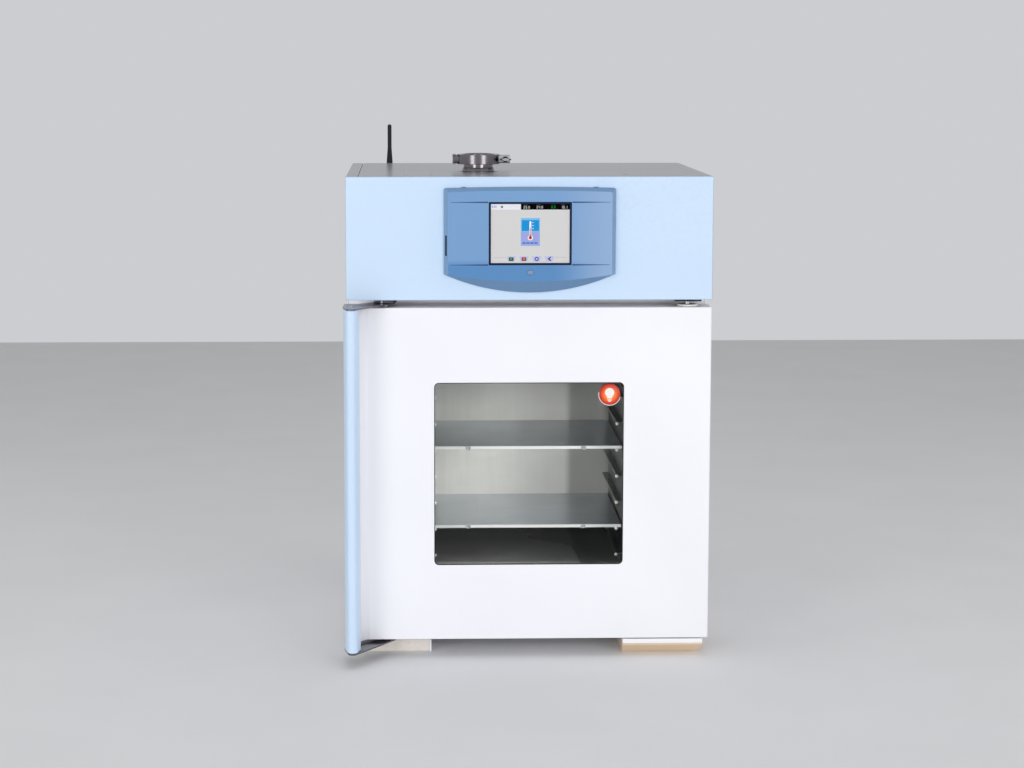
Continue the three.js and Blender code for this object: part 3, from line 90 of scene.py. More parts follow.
# where a pair of outline numbers and a distance along the axis land in the room
def spot(axis, a, b, along):
    if axis == "z":
        return (a, b, along)
    if axis == "y":
        return (a, along, b)
    return (along, a, b)


# an outline pushed along an axis: (X, Y) for z, (X, Z) for y and (Y, Z) for x
def slab(axis, outline, start, end):
    count = len(outline)
    verts = [spot(axis, a, b, start) for a, b in outline]
    verts += [spot(axis, a, b, end) for a, b in outline]
    faces = [tuple(range(count)), tuple(range(2 * count - 1, count - 1, -1))]
    for i in range(count):
        j = (i + 1) % count
        faces.append((i, j, j + count, i + count))
    return verts, faces


# two outlines with as many points each, one inside the other, pushed along an axis
def ringSlab(axis, outer, inner, start, end):
    count = len(outer)
    verts = []
    for outline, along in ((outer, start), (outer, end), (inner, end), (inner, start)):
        verts += [spot(axis, a, b, along) for a, b in outline]
    faces = []
    for row in range(4):
        for i in range(count):
            j = (i + 1) % count
            low, high = row * count, ((row + 1) % 4) * count
            faces.append((low + i, low + j, high + j, high + i))
    return verts, faces


# a closed profile of (radius, height) pairs turned about an axis, all the way or in part
def turned(axis, middle, profile, segments=64, start=0, end=360):
    whole = end - start == 360
    columns = segments if whole else segments + 1
    rows = len(profile)
    verts, faces = [], []
    for i in range(columns):
        turn = radians(start + (end - start) * i / segments)
        for radius, height in profile:
            a, b, along = spot(axis, radius * cos(turn), radius * sin(turn), height)
            verts.append((middle[0] + a, middle[1] + b, middle[2] + along))
    for i in range(segments):
        here, there = i * rows, ((i + 1) % columns) * rows
        for j in range(rows):
            k = (j + 1) % rows
            faces.append((here + j, here + k, there + k, there + j))
    if not whole:
        faces += [tuple(range(rows)), tuple(range((columns - 1) * rows, columns * rows))]
    return verts, faces


def disc(axis, middle, radius, start, end, segments=48):
    return turned(axis, middle, [(0, start), (radius, start), (radius, end), (0, end)], segments)


# rings of (X, Z) points that each stand at their own Y, closed at both ends
def loft(rings):
    count = len(rings[0][1])
    verts, faces = [], []
    for y, outline in rings:
        verts += [(a, y, b) for a, b in outline]
    for row in range(len(rings) - 1):
        for i in range(count):
            j = (i + 1) % count
            faces.append((row * count + i, row * count + j,
                          (row + 1) * count + j, (row + 1) * count + i))
    last = (len(rings) - 1) * count
    faces += [tuple(range(count)), tuple(range(last, last + count))]
    return verts, faces


def joined(*shapes):
    verts, faces = [], []
    for moreVerts, moreFaces in shapes:
        base = len(verts)
        verts += moreVerts
        faces += [tuple(base + i for i in face) for face in moreFaces]
    return verts, faces


# from shapes to meshes and pieces

def meshOf(name, shape):
    verts, faces = shape
    mesh = bpy.data.meshes.new(name)
    mesh.from_pydata([place(*v) for v in verts], [], faces)
    work = bmesh.new()
    work.from_mesh(mesh)
    bmesh.ops.remove_doubles(work, verts=work.verts, dist=2e-6)
    bmesh.ops.recalc_face_normals(work, faces=work.faces)
    work.to_mesh(mesh)
    work.free()
    return mesh


def addObject(name, data):
    made = bpy.data.objects.new(name, data)
    bpy.context.scene.collection.objects.link(made)
    return made


def carve(piece, cutters):
    tool = addObject("cutter", meshOf("cutter", joined(*cutters)))
    cut = piece.modifiers.new("cut", "BOOLEAN")
    cut.operation = "DIFFERENCE"
    cut.solver = "EXACT"
    cut.object = tool
    bpy.context.view_layer.update()
    graph = bpy.context.evaluated_depsgraph_get()
    carved = bpy.data.meshes.new_from_object(piece.evaluated_get(graph))
    piece.modifiers.clear()
    piece.data = carved
    bpy.data.objects.remove(tool)


def applyLooks(piece, looks, smoothAngle):
    mesh = piece.data
    mesh.materials.clear()
    for look in looks:
        mesh.materials.append(materials[look])
    mesh.shade_smooth()
    mesh.set_sharp_from_angle(angle=radians(smoothAngle))


# a further look on the faces that a test picks
def lookOnFaces(piece, look, picked):
    piece.data.materials.append(materials[look])
    for face in piece.data.polygons:
        if picked(face):
            face.material_index = len(piece.data.materials) - 1


def roundEdges(piece, bevel, steps, bevelAngle, clamp=True):
    edge = piece.modifiers.new("rounded edges", "BEVEL")
    edge.width = bevel / 1000
    edge.segments = steps
    edge.limit_method = "ANGLE"
    edge.angle_limit = radians(bevelAngle)
    edge.use_clamp_overlap = clamp
    edge.harden_normals = True


def finishPiece(piece, body, look, bevel, steps, smoothAngle, bevelAngle, clamp):
    applyLooks(piece, [look], smoothAngle)
    if bevel:
        roundEdges(piece, bevel, steps, bevelAngle, clamp)
    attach(piece, body)


def makePiece(name, body, shape, look, stands=(), bevel=0, steps=2, cuts=(),
              smoothAngle=35, bevelAngle=32, clamp=True):
    piece = addObject(name, meshOf(name, shape))
    if cuts:
        carve(piece, cuts)
    finishPiece(piece, body, look, bevel, steps, smoothAngle, bevelAngle, clamp)
    if stands:
        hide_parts(*stands)
    return piece


# a folded or moulded part keeps the outline of its solid and gets rounded edges
def refine(node, look, bevel=0.4, steps=2, smoothAngle=35, bevelAngle=32, clamp=True):
    source = frame["nodes"][node]
    mesh = bpy.data.meshes.new(node + "_rounded")
    work = bmesh.new()
    work.from_mesh(source.data)
    bmesh.ops.remove_doubles(work, verts=work.verts, dist=1e-5)
    bmesh.ops.dissolve_limit(work, angle_limit=radians(1), verts=work.verts, edges=work.edges)
    bmesh.ops.recalc_face_normals(work, faces=work.faces)
    work.to_mesh(mesh)
    work.free()
    piece = addObject(node + "_rounded", mesh)
    finishPiece(piece, source["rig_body"], look, bevel, steps, smoothAngle, bevelAngle, clamp)
    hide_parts(node)
    return piece


# colours are written as a screen's values from 0 to 255
def linear(red, green, blue):
    out = []
    for value in (red, green, blue):
        share = value / 255
        out.append(share / 12.92 if share <= 0.04045 else ((share + 0.055) / 1.055) ** 2.4)
    return (*out, 1.0)


# a node with its settings; each input takes a value or the socket that feeds it
def put(tree, kind, at, inputs=None, **settings):
    node = tree.nodes.new("ShaderNode" + kind)
    node.location = at
    for name, value in settings.items():
        setattr(node, name, value)
    for name, value in (inputs or {}).items():
        if isinstance(value, bpy.types.NodeSocket):
            tree.links.new(value, node.inputs[name])
        else:
            node.inputs[name].default_value = value
    return node


# the nodes used most, each giving back the socket that counts

def noise(tree, at, vector, scale, detail, roughness=0.5, distortion=0.0):
    return put(tree, "TexNoise", at, {"Vector": vector, "Scale": scale, "Detail": detail,
               "Roughness": roughness, "Distortion": distortion}).outputs[0]


def maths(tree, at, operation, *values):
    return put(tree, "Math", at, dict(enumerate(values)), operation=operation).outputs[0]


def ramp(tree, at, value, start, end, low=0.0, high=1.0, curve="LINEAR"):
    return put(tree, "MapRange", at, {"Value": value, "From Min": start, "From Max": end,
               "To Min": low, "To Max": high}, interpolation_type=curve).outputs[0]


def scaled(tree, at, color, factor):
    return put(tree, "VectorMath", at, {0: color, "Scale": factor}, operation="SCALE").outputs[0]


def mixed(tree, at, share, first, second):
    return put(tree, "Mix", at, {0: share, 6: first, 7: second}, data_type="RGBA").outputs[2]


def separated(tree, at, vector):
    return put(tree, "SeparateXYZ", at, {"Vector": vector}).outputs


def feed(tree, inputs, sockets):
    for name, socket in sockets.items():
        tree.links.new(socket, inputs[name])


# a group's inputs come as (name, kind, first value), with its vector always in front
def startGroup(name, inputs, outputs):
    group = bpy.data.node_groups.new(name, "ShaderNodeTree")
    kinds = {"color": "NodeSocketColor", "value": "NodeSocketFloat", "vector": "NodeSocketVector"}
    for title, kind, start in [("Vector", "vector", None)] + inputs:
        made = group.interface.new_socket(name=title, in_out="INPUT", socket_type=kinds[kind])
        if start is not None:
            made.default_value = start
    for title, kind in outputs:
        group.interface.new_socket(name=title, in_out="OUTPUT", socket_type=kinds[kind])
    entry = group.nodes.new("NodeGroupInput")
    entry.location = (-900, 0)
    leave = group.nodes.new("NodeGroupOutput")
    leave.location = (700, 0)
    return group, entry.outputs, leave.inputs


skinOutputs = [("Color", "color"), ("Roughness", "value"), ("Height", "value")]
maskOutputs = [("Color", "color"), ("Mask", "value")]


# the given colour made lighter and darker by up to the given share, as a pattern goes
def toneAround(group, given, share, pattern, start, end):
    low = maths(group, (-400, -480), "SUBTRACT", 1.0, given[share])
    high = maths(group, (-400, -620), "ADD", 1.0, given[share])
    tone = ramp(group, (-200, -320), pattern, start, end, low, high)
    return scaled(group, (0, -120), given["Color"], tone)


# a stoved paint film: fine grain, a little orange peel, slow drifts of tone
def paintSkinGroup():
    group, given, out = startGroup("paintSkin", [
        ("Color", "color", (0.8, 0.8, 0.8, 1)),
        ("Grain Scale", "value", 1300),
        ("Tone", "value", 0.02),
        ("Roughness Low", "value", 0.35),
        ("Roughness High", "value", 0.5),
    ], skinOutputs)
    grain = noise(group, (-600, 200), given["Vector"], given["Grain Scale"], 3.0, 0.6)
    peelScale = maths(group, (-760, -60), "MULTIPLY", given["Grain Scale"], 0.22)
    peel = noise(group, (-600, -60), given["Vector"], peelScale, 1.0)
    drift = noise(group, (-600, -320), given["Vector"], 5.0, 3.0, 0.45)
    color = toneAround(group, given, "Tone", drift, 0.35, 0.65)
    rough = ramp(group, (0, 120), grain, 0.35, 0.65, given["Roughness Low"],
                 given["Roughness High"])
    height = maths(group, (0, 320), "MULTIPLY_ADD", peel, 1.6, grain)
    feed(group, out, {"Color": color, "Roughness": rough, "Height": height})
    return group


# a thin, uneven veil on whatever faces up
def dustGroup():
    group, given, out = startGroup("settledDust", [
        ("Color", "color", (0.8, 0.8, 0.8, 1)),
        ("Dust Color", "color", (0.55, 0.54, 0.52, 1)),
        ("Amount", "value", 0.1),
    ], maskOutputs)
    surface = put(group, "NewGeometry", (-700, 200))
    parts = separated(group, (-520, 200), surface.outputs["Normal"])
    upward = ramp(group, (-340, 200), parts["Z"], 0.6, 1.0)
    cloud = noise(group, (-520, -80), given["Vector"], 28.0, 5.0, 0.65)
    spread = ramp(group, (-340, -80), cloud, 0.3, 0.8)
    settled = maths(group, (-140, 100), "MULTIPLY", upward, spread)
    mask = maths(group, (40, 100), "MULTIPLY", settled, given["Amount"])
    veil = mixed(group, (240, 0), mask, given["Color"], given["Dust Color"])
    feed(group, out, {"Color": veil, "Mask": mask})
    return group


# rubbed edges: the mesh's own sharpness broken up by noise
def edgeWearGroup():
    group, given, out = startGroup("edgeWear", [
        ("Color", "color", (0.8, 0.8, 0.8, 1)),
        ("Worn Color", "color", (0.6, 0.6, 0.6, 1)),
        ("Amount", "value", 0.3),
    ], maskOutputs)
    surface = put(group, "NewGeometry", (-700, 200))
    edge = ramp(group, (-500, 200), surface.outputs["Pointiness"], 0.52, 0.62)
    chips = noise(group, (-700, -60), given["Vector"], 160.0, 5.0, 0.7)
    broken = ramp(group, (-500, -60), chips, 0.45, 0.7)
    both = maths(group, (-280, 100), "MULTIPLY", edge, broken)
    mask = maths(group, (-80, 100), "MULTIPLY", both, given["Amount"])
    worn = mixed(group, (160, 0), mask, given["Color"], given["Worn Color"])
    feed(group, out, {"Color": worn, "Mask": mask})
    return group


# drawn or ground metal: long fine scratches along one direction, with cloudy patches
def brushedGroup():
    group, given, out = startGroup("brushedMetal", [
        ("Lines Vector", "vector", None),
        ("Color", "color", (0.6, 0.6, 0.6, 1)),
        ("Contrast", "value", 0.1),
        ("Roughness Low", "value", 0.2),
        ("Roughness High", "value", 0.4),
    ], skinOutputs)
    lines = noise(group, (-600, 200), given["Lines Vector"], 1.0, 6.0, 0.7)
    clouds = noise(group, (-600, -100), given["Vector"], 14.0, 4.0)
    blend = maths(group, (-400, 60), "MULTIPLY_ADD", clouds, 0.5, lines)
    color = toneAround(group, given, "Contrast", blend, 0.5, 1.0)
    rough = ramp(group, (0, 120), lines, 0.3, 0.7, given["Roughness Low"], given["Roughness High"])
    feed(group, out, {"Color": color, "Roughness": rough, "Height": lines})
    return group


# spark-eroded mould texture for plastics and rubber
def mouldedGroup():
    group, given, out = startGroup("mouldedGrain", [
        ("Color", "color", (0.5, 0.5, 0.5, 1)),
        ("Grain Scale", "value", 1600),
        ("Tone", "value", 0.03),
        ("Roughness Low", "value", 0.35),
        ("Roughness High", "value", 0.55),
    ], skinOutputs)
    pits = put(group, "TexVoronoi", (-600, 200), {"Vector": given["Vector"],
               "Scale": given["Grain Scale"], "Randomness": 1.0}).outputs["Distance"]
    drift = noise(group, (-600, -120), given["Vector"], 11.0, 4.0)
    color = toneAround(group, given, "Tone", drift, 0.35, 0.65)
    rough = ramp(group, (0, 120), pits, 0.0, 0.8, given["Roughness Low"], given["Roughness High"])
    feed(group, out, {"Color": color, "Roughness": rough, "Height": pits})
    return group


# wiped glass: streaks and finger marks that only change the gloss
def wipeMarksGroup():
    group, given, out = startGroup("wipeMarks", [
        ("Roughness Low", "value", 0.02),
        ("Roughness High", "value", 0.08),
    ], [("Roughness", "value"), ("Mask", "value")])
    stretch = put(group, "Mapping", (-760, 0), {"Vector": given["Vector"],
                  "Rotation": (0.3, 0.6, 0.4), "Scale": (9.0, 9.0, 34.0)}).outputs[0]
    streaks = noise(group, (-560, 0), stretch, 1.0, 5.0, 0.6, 1.5)
    mask = ramp(group, (-340, 0), streaks, 0.45, 0.8)
    rough = ramp(group, (-100, 0), mask, 0.0, 1.0, given["Roughness Low"], given["Roughness High"])
    feed(group, out, {"Roughness": rough, "Mask": mask})
    return group


# painted shade on the chamber walls: darker at the right end, under the roof and near the floor
paintedChamberShade = dict(
    floor=(-0.080, 0.060, 0.62, 0.36),         # along Y: the floor is darkest at the back
    falls=[("X", 0.076, 0.092, 1.0, 0.50),     # side, from, to, tone before and after
           ("X", -0.060, 0.080, 1.0, 0.66),
           ("X", -0.150, -0.132, 0.72, 1.0),
           ("Z", 0.320, 0.420, 1.0, 0.62),
           ("Z", 0.122, 0.180, None, 1.0)],    # None takes the floor's own tone
)


def chamberShadeGroup():
    group, given, out = startGroup("chamberPaintedShade", [
        ("Color", "color", (0.8, 0.8, 0.8, 1)),
    ], [("Color", "color")])
    parts = separated(group, (-740, 100), given["Vector"])
    floorTone = ramp(group, (-740, -300), parts["Y"], *paintedChamberShade["floor"])
    shade = None
    for i, (side, start, end, before, after) in enumerate(paintedChamberShade["falls"]):
        fall = ramp(group, (-520, 400 - 200 * i), parts[side], start, end,
                    floorTone if before is None else before, after, "SMOOTHSTEP")
        if shade is None:
            shade = fall
        else:
            shade = maths(group, (-280 + 80 * i, 300 - 160 * i), "MULTIPLY", shade, fall)
    feed(group, out, {"Color": scaled(group, (400, 0), given["Color"], shade)})
    return group


# painted light on the moulded face: a painted sheen towards the right and painted shade below the
# screen
faceSheenAndShadeTones = dict(paleFrom=0.030, paleTo=0.125, shadeFrom=0.600, shadeTo=0.588)


def faceSheenAndShadeGroup():
    group, given, out = startGroup("faceSheenAndShade", [
        ("Color", "color", (0.5, 0.5, 0.5, 1)),
        ("Painted Sheen Color", "color", (0.6, 0.6, 0.6, 1)),
        ("Painted Shade Color", "color", (0.4, 0.4, 0.4, 1)),
    ], [("Color", "color")])
    parts = separated(group, (-740, 100), given["Vector"])
    pale = ramp(group, (-520, 300), parts["X"], faceSheenAndShadeTones["paleFrom"], faceSheenAndShadeTones["paleTo"],
                curve="SMOOTHSTEP")
    deep = ramp(group, (-520, 0), parts["Z"], faceSheenAndShadeTones["shadeFrom"], faceSheenAndShadeTones["shadeTo"],
                curve="SMOOTHSTEP")
    lower = mixed(group, (-200, 100), deep, given["Color"], given["Painted Shade Color"])
    both = mixed(group, (160, 100), pale, lower, given["Painted Sheen Color"])
    feed(group, out, {"Color": both})
    return group


groups = {
    "shade": chamberShadeGroup(),
    "faceLight": faceSheenAndShadeGroup(),
    "paint": paintSkinGroup(),
    "dust": dustGroup(),
    "wear": edgeWearGroup(),
    "brushed": brushedGroup(),
    "moulded": mouldedGroup(),
    "wipe": wipeMarksGroup(),
}


def startMaterial(name):
    material = bpy.data.materials.new(name)
    material.use_nodes = True
    tree = material.node_tree
    where = put(tree, "TexCoord", (-1100, 0))
    return material, tree, tree.nodes["Principled BSDF"], where.outputs["Object"]


def useGroup(tree, key, at, inputs):
    return put(tree, "Group", at, inputs, node_tree=groups[key]).outputs


# colour, roughness and bump go to the shader together
def dress(tree, shader, color, roughness, height, strength, distance):
    feed(tree, shader.inputs, {"Base Color": color, "Roughness": roughness})
    bump = put(tree, "Bump", (-240, -320), {"Height": height, "Strength": strength,
               "Distance": distance})
    feed(tree, shader.inputs, {"Normal": bump.outputs[0]})


def grained(tree, at, where, color, grain, tone, rough):
    return useGroup(tree, "moulded", at, {
        "Vector": where, "Color": color, "Grain Scale": grain, "Tone": tone,
        "Roughness Low": rough[0], "Roughness High": rough[1]})


# Every look gives its colour, how its skin varies and the record's material slot.

paintLooks = {
    "paleBluePaint": dict(slot="pale_blue_paint", color=(207, 229, 252), grain=1500, tone=0.012,
                          rough=(0.36, 0.46), bump=0.10, dust=0.03, wear=0.10,
                          worn=(170, 178, 190)),
    # the cover's own grey paint, set darker still as painted shade for its dimly lit top
    "coverGreyAndShade": dict(slot="cover_paint", color=(152, 152, 158), grain=1500, tone=0.02,
                       rough=(0.22, 0.30), bump=0.04, dust=0.05, wear=0.10,
                       worn=(150, 150, 152)),
    "whitePaint": dict(slot="white_paint", color=(247, 247, 252), grain=1500, tone=0.010,
                       rough=(0.36, 0.46), bump=0.10, dust=0.03, wear=0.10,
                       worn=(190, 190, 192)),
    "creamPaint": dict(slot="cream_paint", color=(234, 227, 220), grain=1300, tone=0.020,
                       rough=(0.42, 0.56), bump=0.12, dust=0.06, wear=0.20,
                       worn=(176, 168, 158)),
    # a darker copy of the cream paint: painted shade for the right skid and its chamfered front
    "skidShadePaint": dict(slot="cream_paint", color=(228, 205, 178), grain=1300, tone=0.025,
                      rough=(0.42, 0.56), bump=0.12, dust=0.06, wear=0.20,
                      worn=(176, 160, 140)),
    "blackSteelPaint": dict(slot="black_steel", color=(26, 26, 29), grain=1600, tone=0.08,
                            rough=(0.12, 0.20), bump=0.04, dust=0.05, wear=0.40,
                            worn=(110, 104, 98)),
}


def paintMaterial(name, look):
    material, tree, shader, where = startMaterial(name)
    skin = useGroup(tree, "paint", (-820, 100), {
        "Vector": where, "Color": linear(*look["color"]), "Grain Scale": look["grain"],
        "Tone": look["tone"], "Roughness Low": look["rough"][0],
        "Roughness High": look["rough"][1]})
    worn = useGroup(tree, "wear", (-600, 100), {
        "Vector": where, "Color": skin["Color"], "Worn Color": linear(*look["worn"]),
        "Amount": look["wear"]})
    dusty = useGroup(tree, "dust", (-400, 100), {
        "Vector": where, "Color": worn["Color"], "Amount": look["dust"]})
    dress(tree, shader, dusty["Color"], skin["Roughness"], skin["Height"], look["bump"], 0.0002)
    return material


metalLooks = {
    # lines gives how often the scratches change along X, Y and Z, per metre
    "chamberSteel": dict(slot="stainless", color=(240, 237, 231), lines=(170, 40, 9),
                         contrast=0.06, rough=(0.50, 0.68), bump=0.10,
                         metallic=0.5, mirror=0.05, grazing=0.1, paintedShade=True),
    "shelfSteel": dict(slot="aluminium", color=(220, 226, 233), lines=(9, 260, 900),
                       contrast=0.10, rough=(0.26, 0.40), bump=0.10),
    "rackSteel": dict(slot="stainless", color=(122, 126, 125), lines=(900, 24, 1500),
                      contrast=0.06, rough=(0.24, 0.38), bump=0.10),
    "portSteel": dict(slot="stainless", color=(138, 134, 135), lines=(60, 60, 2200),
                      contrast=0.10, rough=(0.10, 0.18), bump=0.06),
    "clampMetal": dict(slot="aluminium", color=(128, 123, 127), lines=(80, 80, 1800),
                       contrast=0.14, rough=(0.19, 0.27), bump=0.06),
    "armSteel": dict(slot="black_steel", color=(126, 124, 132), lines=(40, 900, 900),
                     contrast=0.06, rough=(0.14, 0.26), bump=0.05),
    "bossSteel": dict(slot="black_steel", color=(104, 102, 108), lines=(60, 60, 900),
                      contrast=0.05, rough=(0.02, 0.05), bump=0.02),
    "darkSteel": dict(slot="aluminium", color=(64, 61, 68), lines=(900, 900, 80),
                      contrast=0.08, rough=(0.16, 0.26), bump=0.05),
    "fittingSteel": dict(slot="stainless", color=(184, 184, 186), lines=(1500, 50, 1500),
                         contrast=0.08, rough=(0.16, 0.28), bump=0.10),
    "aluminium": dict(slot="aluminium", color=(190, 193, 196), lines=(40, 1200, 1200),
                      contrast=0.05, rough=(0.26, 0.42), bump=0.12),
}


def metalMaterial(name, look):
    material, tree, shader, where = startMaterial(name)
    stretch = put(tree, "Mapping", (-980, -160), {"Vector": where, "Scale": look["lines"]})
    skin = useGroup(tree, "brushed", (-760, 100), {
        "Vector": where, "Lines Vector": stretch.outputs[0], "Color": linear(*look["color"]),
        "Contrast": look["contrast"], "Roughness Low": look["rough"][0],
        "Roughness High": look["rough"][1]})
    tone = skin["Color"]
    # the chamber walls get painted shade
    if look.get("paintedShade"):
        tone = useGroup(tree, "shade", (-620, 260), {"Vector": where, "Color": tone})["Color"]
    dusty = useGroup(tree, "dust", (-480, 100), {"Vector": where, "Color": tone, "Amount": 0.04})
    dress(tree, shader, dusty["Color"], skin["Roughness"], skin["Height"], look["bump"], 0.00015)
    shader.inputs["Metallic"].default_value = look.get("metallic", 1.0)
    shader.inputs["Specular IOR Level"].default_value = look.get("mirror", 0.5)
    shader.inputs["Specular Tint"].default_value = (*[look.get("grazing", 1.0)] * 3, 1.0)
    return material


# the moulded panel's parts share one skin; the edge, side, crown and groove looks are darker
# copies, painted shade for faces that turn away from the light
bezelSkin = dict(slot="bezel_plastic", grain=1800, tone=0.015, rough=(0.34, 0.46), bump=0.05)

plasticLooks = {
    # pale and deep are the face's painted sheen and painted shade
    "bezelPlastic": dict(bezelSkin, color=(117, 158, 204), rough=(0.30, 0.42),
                         pale=(142, 172, 210), deep=(84, 136, 189)),
    "bezelEdgeShade": dict(bezelSkin, color=(100, 136, 175)),
    "bezelSideShade": dict(bezelSkin, color=(120, 155, 191)),
    "bezelCrownShade": dict(bezelSkin, color=(109, 146, 185)),
    "bezelGrooveShade": dict(bezelSkin, color=(58, 90, 142)),
    "recessShade": dict(slot="bezel_plastic", color=(22, 38, 70), grain=2000, tone=0.03,
                       rough=(0.34, 0.46), bump=0.06, mirror=0.15),
    "keyGrey": dict(slot="stainless", color=(126, 150, 180), grain=2000, tone=0.03,
                    rough=(0.24, 0.34), bump=0.05),
    "blackPlastic": dict(slot="black_plastic", color=(30, 31, 34), grain=1500, tone=0.06,
                         rough=(0.42, 0.60), bump=0.14),
    "blackRubber": dict(slot="black_rubber", color=(26, 26, 28), grain=1100, tone=0.08,
                        rough=(0.62, 0.82), bump=0.16),
    "siliconeSeal": dict(slot="silicone", color=(150, 74, 60), grain=900, tone=0.05,
                         rough=(0.55, 0.72), bump=0.12),
    "signalRed": dict(slot="signal_red", color=(214, 66, 34), grain=1500, tone=0.03,
                      rough=(0.28, 0.40), bump=0.06),
    "markWhite": dict(slot="white_paint", color=(246, 244, 240), grain=1500, tone=0.01,
                      rough=(0.34, 0.46), bump=0.05),
}


def plasticMaterial(name, look):
    material, tree, shader, where = startMaterial(name)
    skin = grained(tree, (-760, 100), where, linear(*look["color"]), look["grain"],
                   look["tone"], look["rough"])
    tone = skin["Color"]
    # painted sheen to the right and painted shade below the screen
    if "pale" in look:
        tone = useGroup(tree, "faceLight", (-620, 260), {
            "Vector": where, "Color": tone, "Painted Sheen Color": linear(*look["pale"]),
            "Painted Shade Color": linear(*look["deep"])})["Color"]
    dusty = useGroup(tree, "dust", (-480, 100), {"Vector": where, "Color": tone, "Amount": 0.03})
    dress(tree, shader, dusty["Color"], skin["Roughness"], skin["Height"], look["bump"], 0.00015)
    shader.inputs["Specular IOR Level"].default_value = look.get("mirror", 0.5)
    return material


# clear glass that lets the lamps through to the chamber
glassLook = dict(slot="clear_glass", tint=(254, 255, 255), smear=(250, 252, 252),
                 rough=(0.01, 0.04), ior=1.12)    # coated panes that mirror little


def glassMaterial(name, look):
    material, tree, shader, where = startMaterial(name)
    marks = useGroup(tree, "wipe", (-760, -80), {
        "Vector": where, "Roughness Low": look["rough"][0], "Roughness High": look["rough"][1]})
    haze = mixed(tree, (-440, 160), marks["Mask"], linear(*look["tint"]), linear(*look["smear"]))
    feed(tree, shader.inputs, {"Base Color": haze, "Roughness": marks["Roughness"]})
    shader.inputs["Transmission Weight"].default_value = 1.0
    shader.inputs["IOR"].default_value = look["ior"]
    rays = put(tree, "LightPath", (-200, 420)).outputs
    through = maths(tree, (0, 380), "MAXIMUM", rays["Is Shadow Ray"], rays["Is Diffuse Ray"])
    clear = put(tree, "BsdfTransparent", (60, 220), {"Color": linear(*look["tint"])})
    both = put(tree, "MixShader", (320, 120), {0: through, 1: shader.outputs[0],
               2: clear.outputs[0]})
    feed(tree, tree.nodes["Material Output"].inputs, {"Surface": both.outputs[0]})
    return material


# lit display: colours from the drawn picture, broken up by the pixel grid
displayLook = dict(slot="screen", pixels=900.0, dimmest=0.94, rough=(0.16, 0.28), glow=0.03,
                   mirror=0.04)


def displayMaterial(name, look):
    material, tree, shader, where = startMaterial(name)
    picture = put(tree, "VertexColor", (-900, 200), layer_name="tint")
    columns, rows = [put(tree, "TexWave", at, {"Vector": where, "Scale": look["pixels"]},
                         bands_direction=side).outputs["Fac"]
                     for side, at in (("X", (-900, -40)), ("Z", (-900, -320)))]
    cells = maths(tree, (-700, -140), "MULTIPLY", columns, rows)
    dim = ramp(tree, (-520, -140), cells, 0.0, 1.0, look["dimmest"], 1.0)
    lit = scaled(tree, (-320, 100), picture.outputs["Color"], dim)
    marks = useGroup(tree, "wipe", (-520, -400), {
        "Vector": where, "Roughness Low": look["rough"][0], "Roughness High": look["rough"][1]})
    dress(tree, shader, lit, marks["Roughness"], cells, 0.02, 0.0001)
    feed(tree, shader.inputs, {"Emission Color": lit})
    shader.inputs["Emission Strength"].default_value = look["glow"]
    shader.inputs["Specular IOR Level"].default_value = look["mirror"]
    return material


# illuminated touch key: orange in the middle, red towards its rim
lightKey = dict(x=119.4, y=2.0, z=396.5, radius=16.5, proud=1.2, slot="signal_red", glow=0.1,
                middle=(255, 178, 74), rim=(118, 20, 14),
                rings=((0.45, (246, 128, 48)), (0.74, (214, 62, 28)), (0.90, (176, 34, 18))))


def lightKeyMaterial(name, look):
    material, tree, shader, where = startMaterial(name)
    centre = place(look["x"], look["y"], look["z"])
    offset = put(tree, "VectorMath", (-900, 160), {0: where, 1: tuple(centre)},
                 operation="SUBTRACT").outputs[0]
    flat = put(tree, "VectorMath", (-740, 160), {0: offset, 1: (1.0, 0.0, 1.0)},
               operation="MULTIPLY").outputs[0]
    reach = put(tree, "VectorMath", (-580, 160), {0: flat}, operation="LENGTH").outputs["Value"]
    share = ramp(tree, (-420, 160), reach, 0.0, look["radius"] / 1000)
    tones = put(tree, "ValToRGB", (-240, 200), {"Fac": share})
    stops = tones.color_ramp.elements
    stops[0].color = linear(*look["middle"])
    stops[1].color = linear(*look["rim"])
    for stop, tint in look["rings"]:
        stops.new(stop).color = linear(*tint)
    skin = grained(tree, (-240, -120), where, tones.outputs["Color"], 1500.0, 0.03, (0.22, 0.34))
    dress(tree, shader, skin["Color"], skin["Roughness"], skin["Height"], 0.05, 0.0001)
    feed(tree, shader.inputs, {"Emission Color": skin["Color"]})
    shader.inputs["Emission Strength"].default_value = look["glow"]
    return material


# mineral wool with its fibres, the heater foil's meander and the board's copper tracks
woolLook = dict(slot="mineral_wool", shade=(178, 166, 124), light=(228, 220, 190))
heaterLook = dict(slot="heater_mat", gap=(120, 70, 30), track=(168, 118, 62))
boardLook = dict(slot="circuit_board", ground=(34, 92, 52), track=(60, 128, 72))


def woolMaterial(name, look):
    material, tree, shader, where = startMaterial(name)
    fibres = noise(tree, (-760, 100), where, 420.0, 9.0, 0.8, 2.2)
    lumps = noise(tree, (-760, -160), where, 32.0, 4.0)
    both = maths(tree, (-560, 0), "ADD", fibres, lumps)
    share = ramp(tree, (-400, 0), both, 0.7, 1.3)
    color = mixed(tree, (-200, 60), share, linear(*look["shade"]), linear(*look["light"]))
    rough = ramp(tree, (-200, -160), fibres, 0.0, 1.0, 0.88, 1.0)
    dress(tree, shader, color, rough, both, 0.7, 0.002)
    return material


def heaterMaterial(name, look):
    material, tree, shader, where = startMaterial(name)
    bands = put(tree, "TexWave", (-760, 100), {"Vector": where, "Scale": 28.0,
                "Distortion": 0.4}, bands_direction="Y").outputs["Fac"]
    edge = ramp(tree, (-560, 100), bands, 0.45, 0.55)
    color = mixed(tree, (-360, 100), edge, linear(*look["gap"]), linear(*look["track"]))
    skin = grained(tree, (-160, 100), where, color, 900.0, 0.06, (0.4, 0.6))
    dress(tree, shader, skin["Color"], skin["Roughness"], edge, 0.3, 0.0002)
    return material


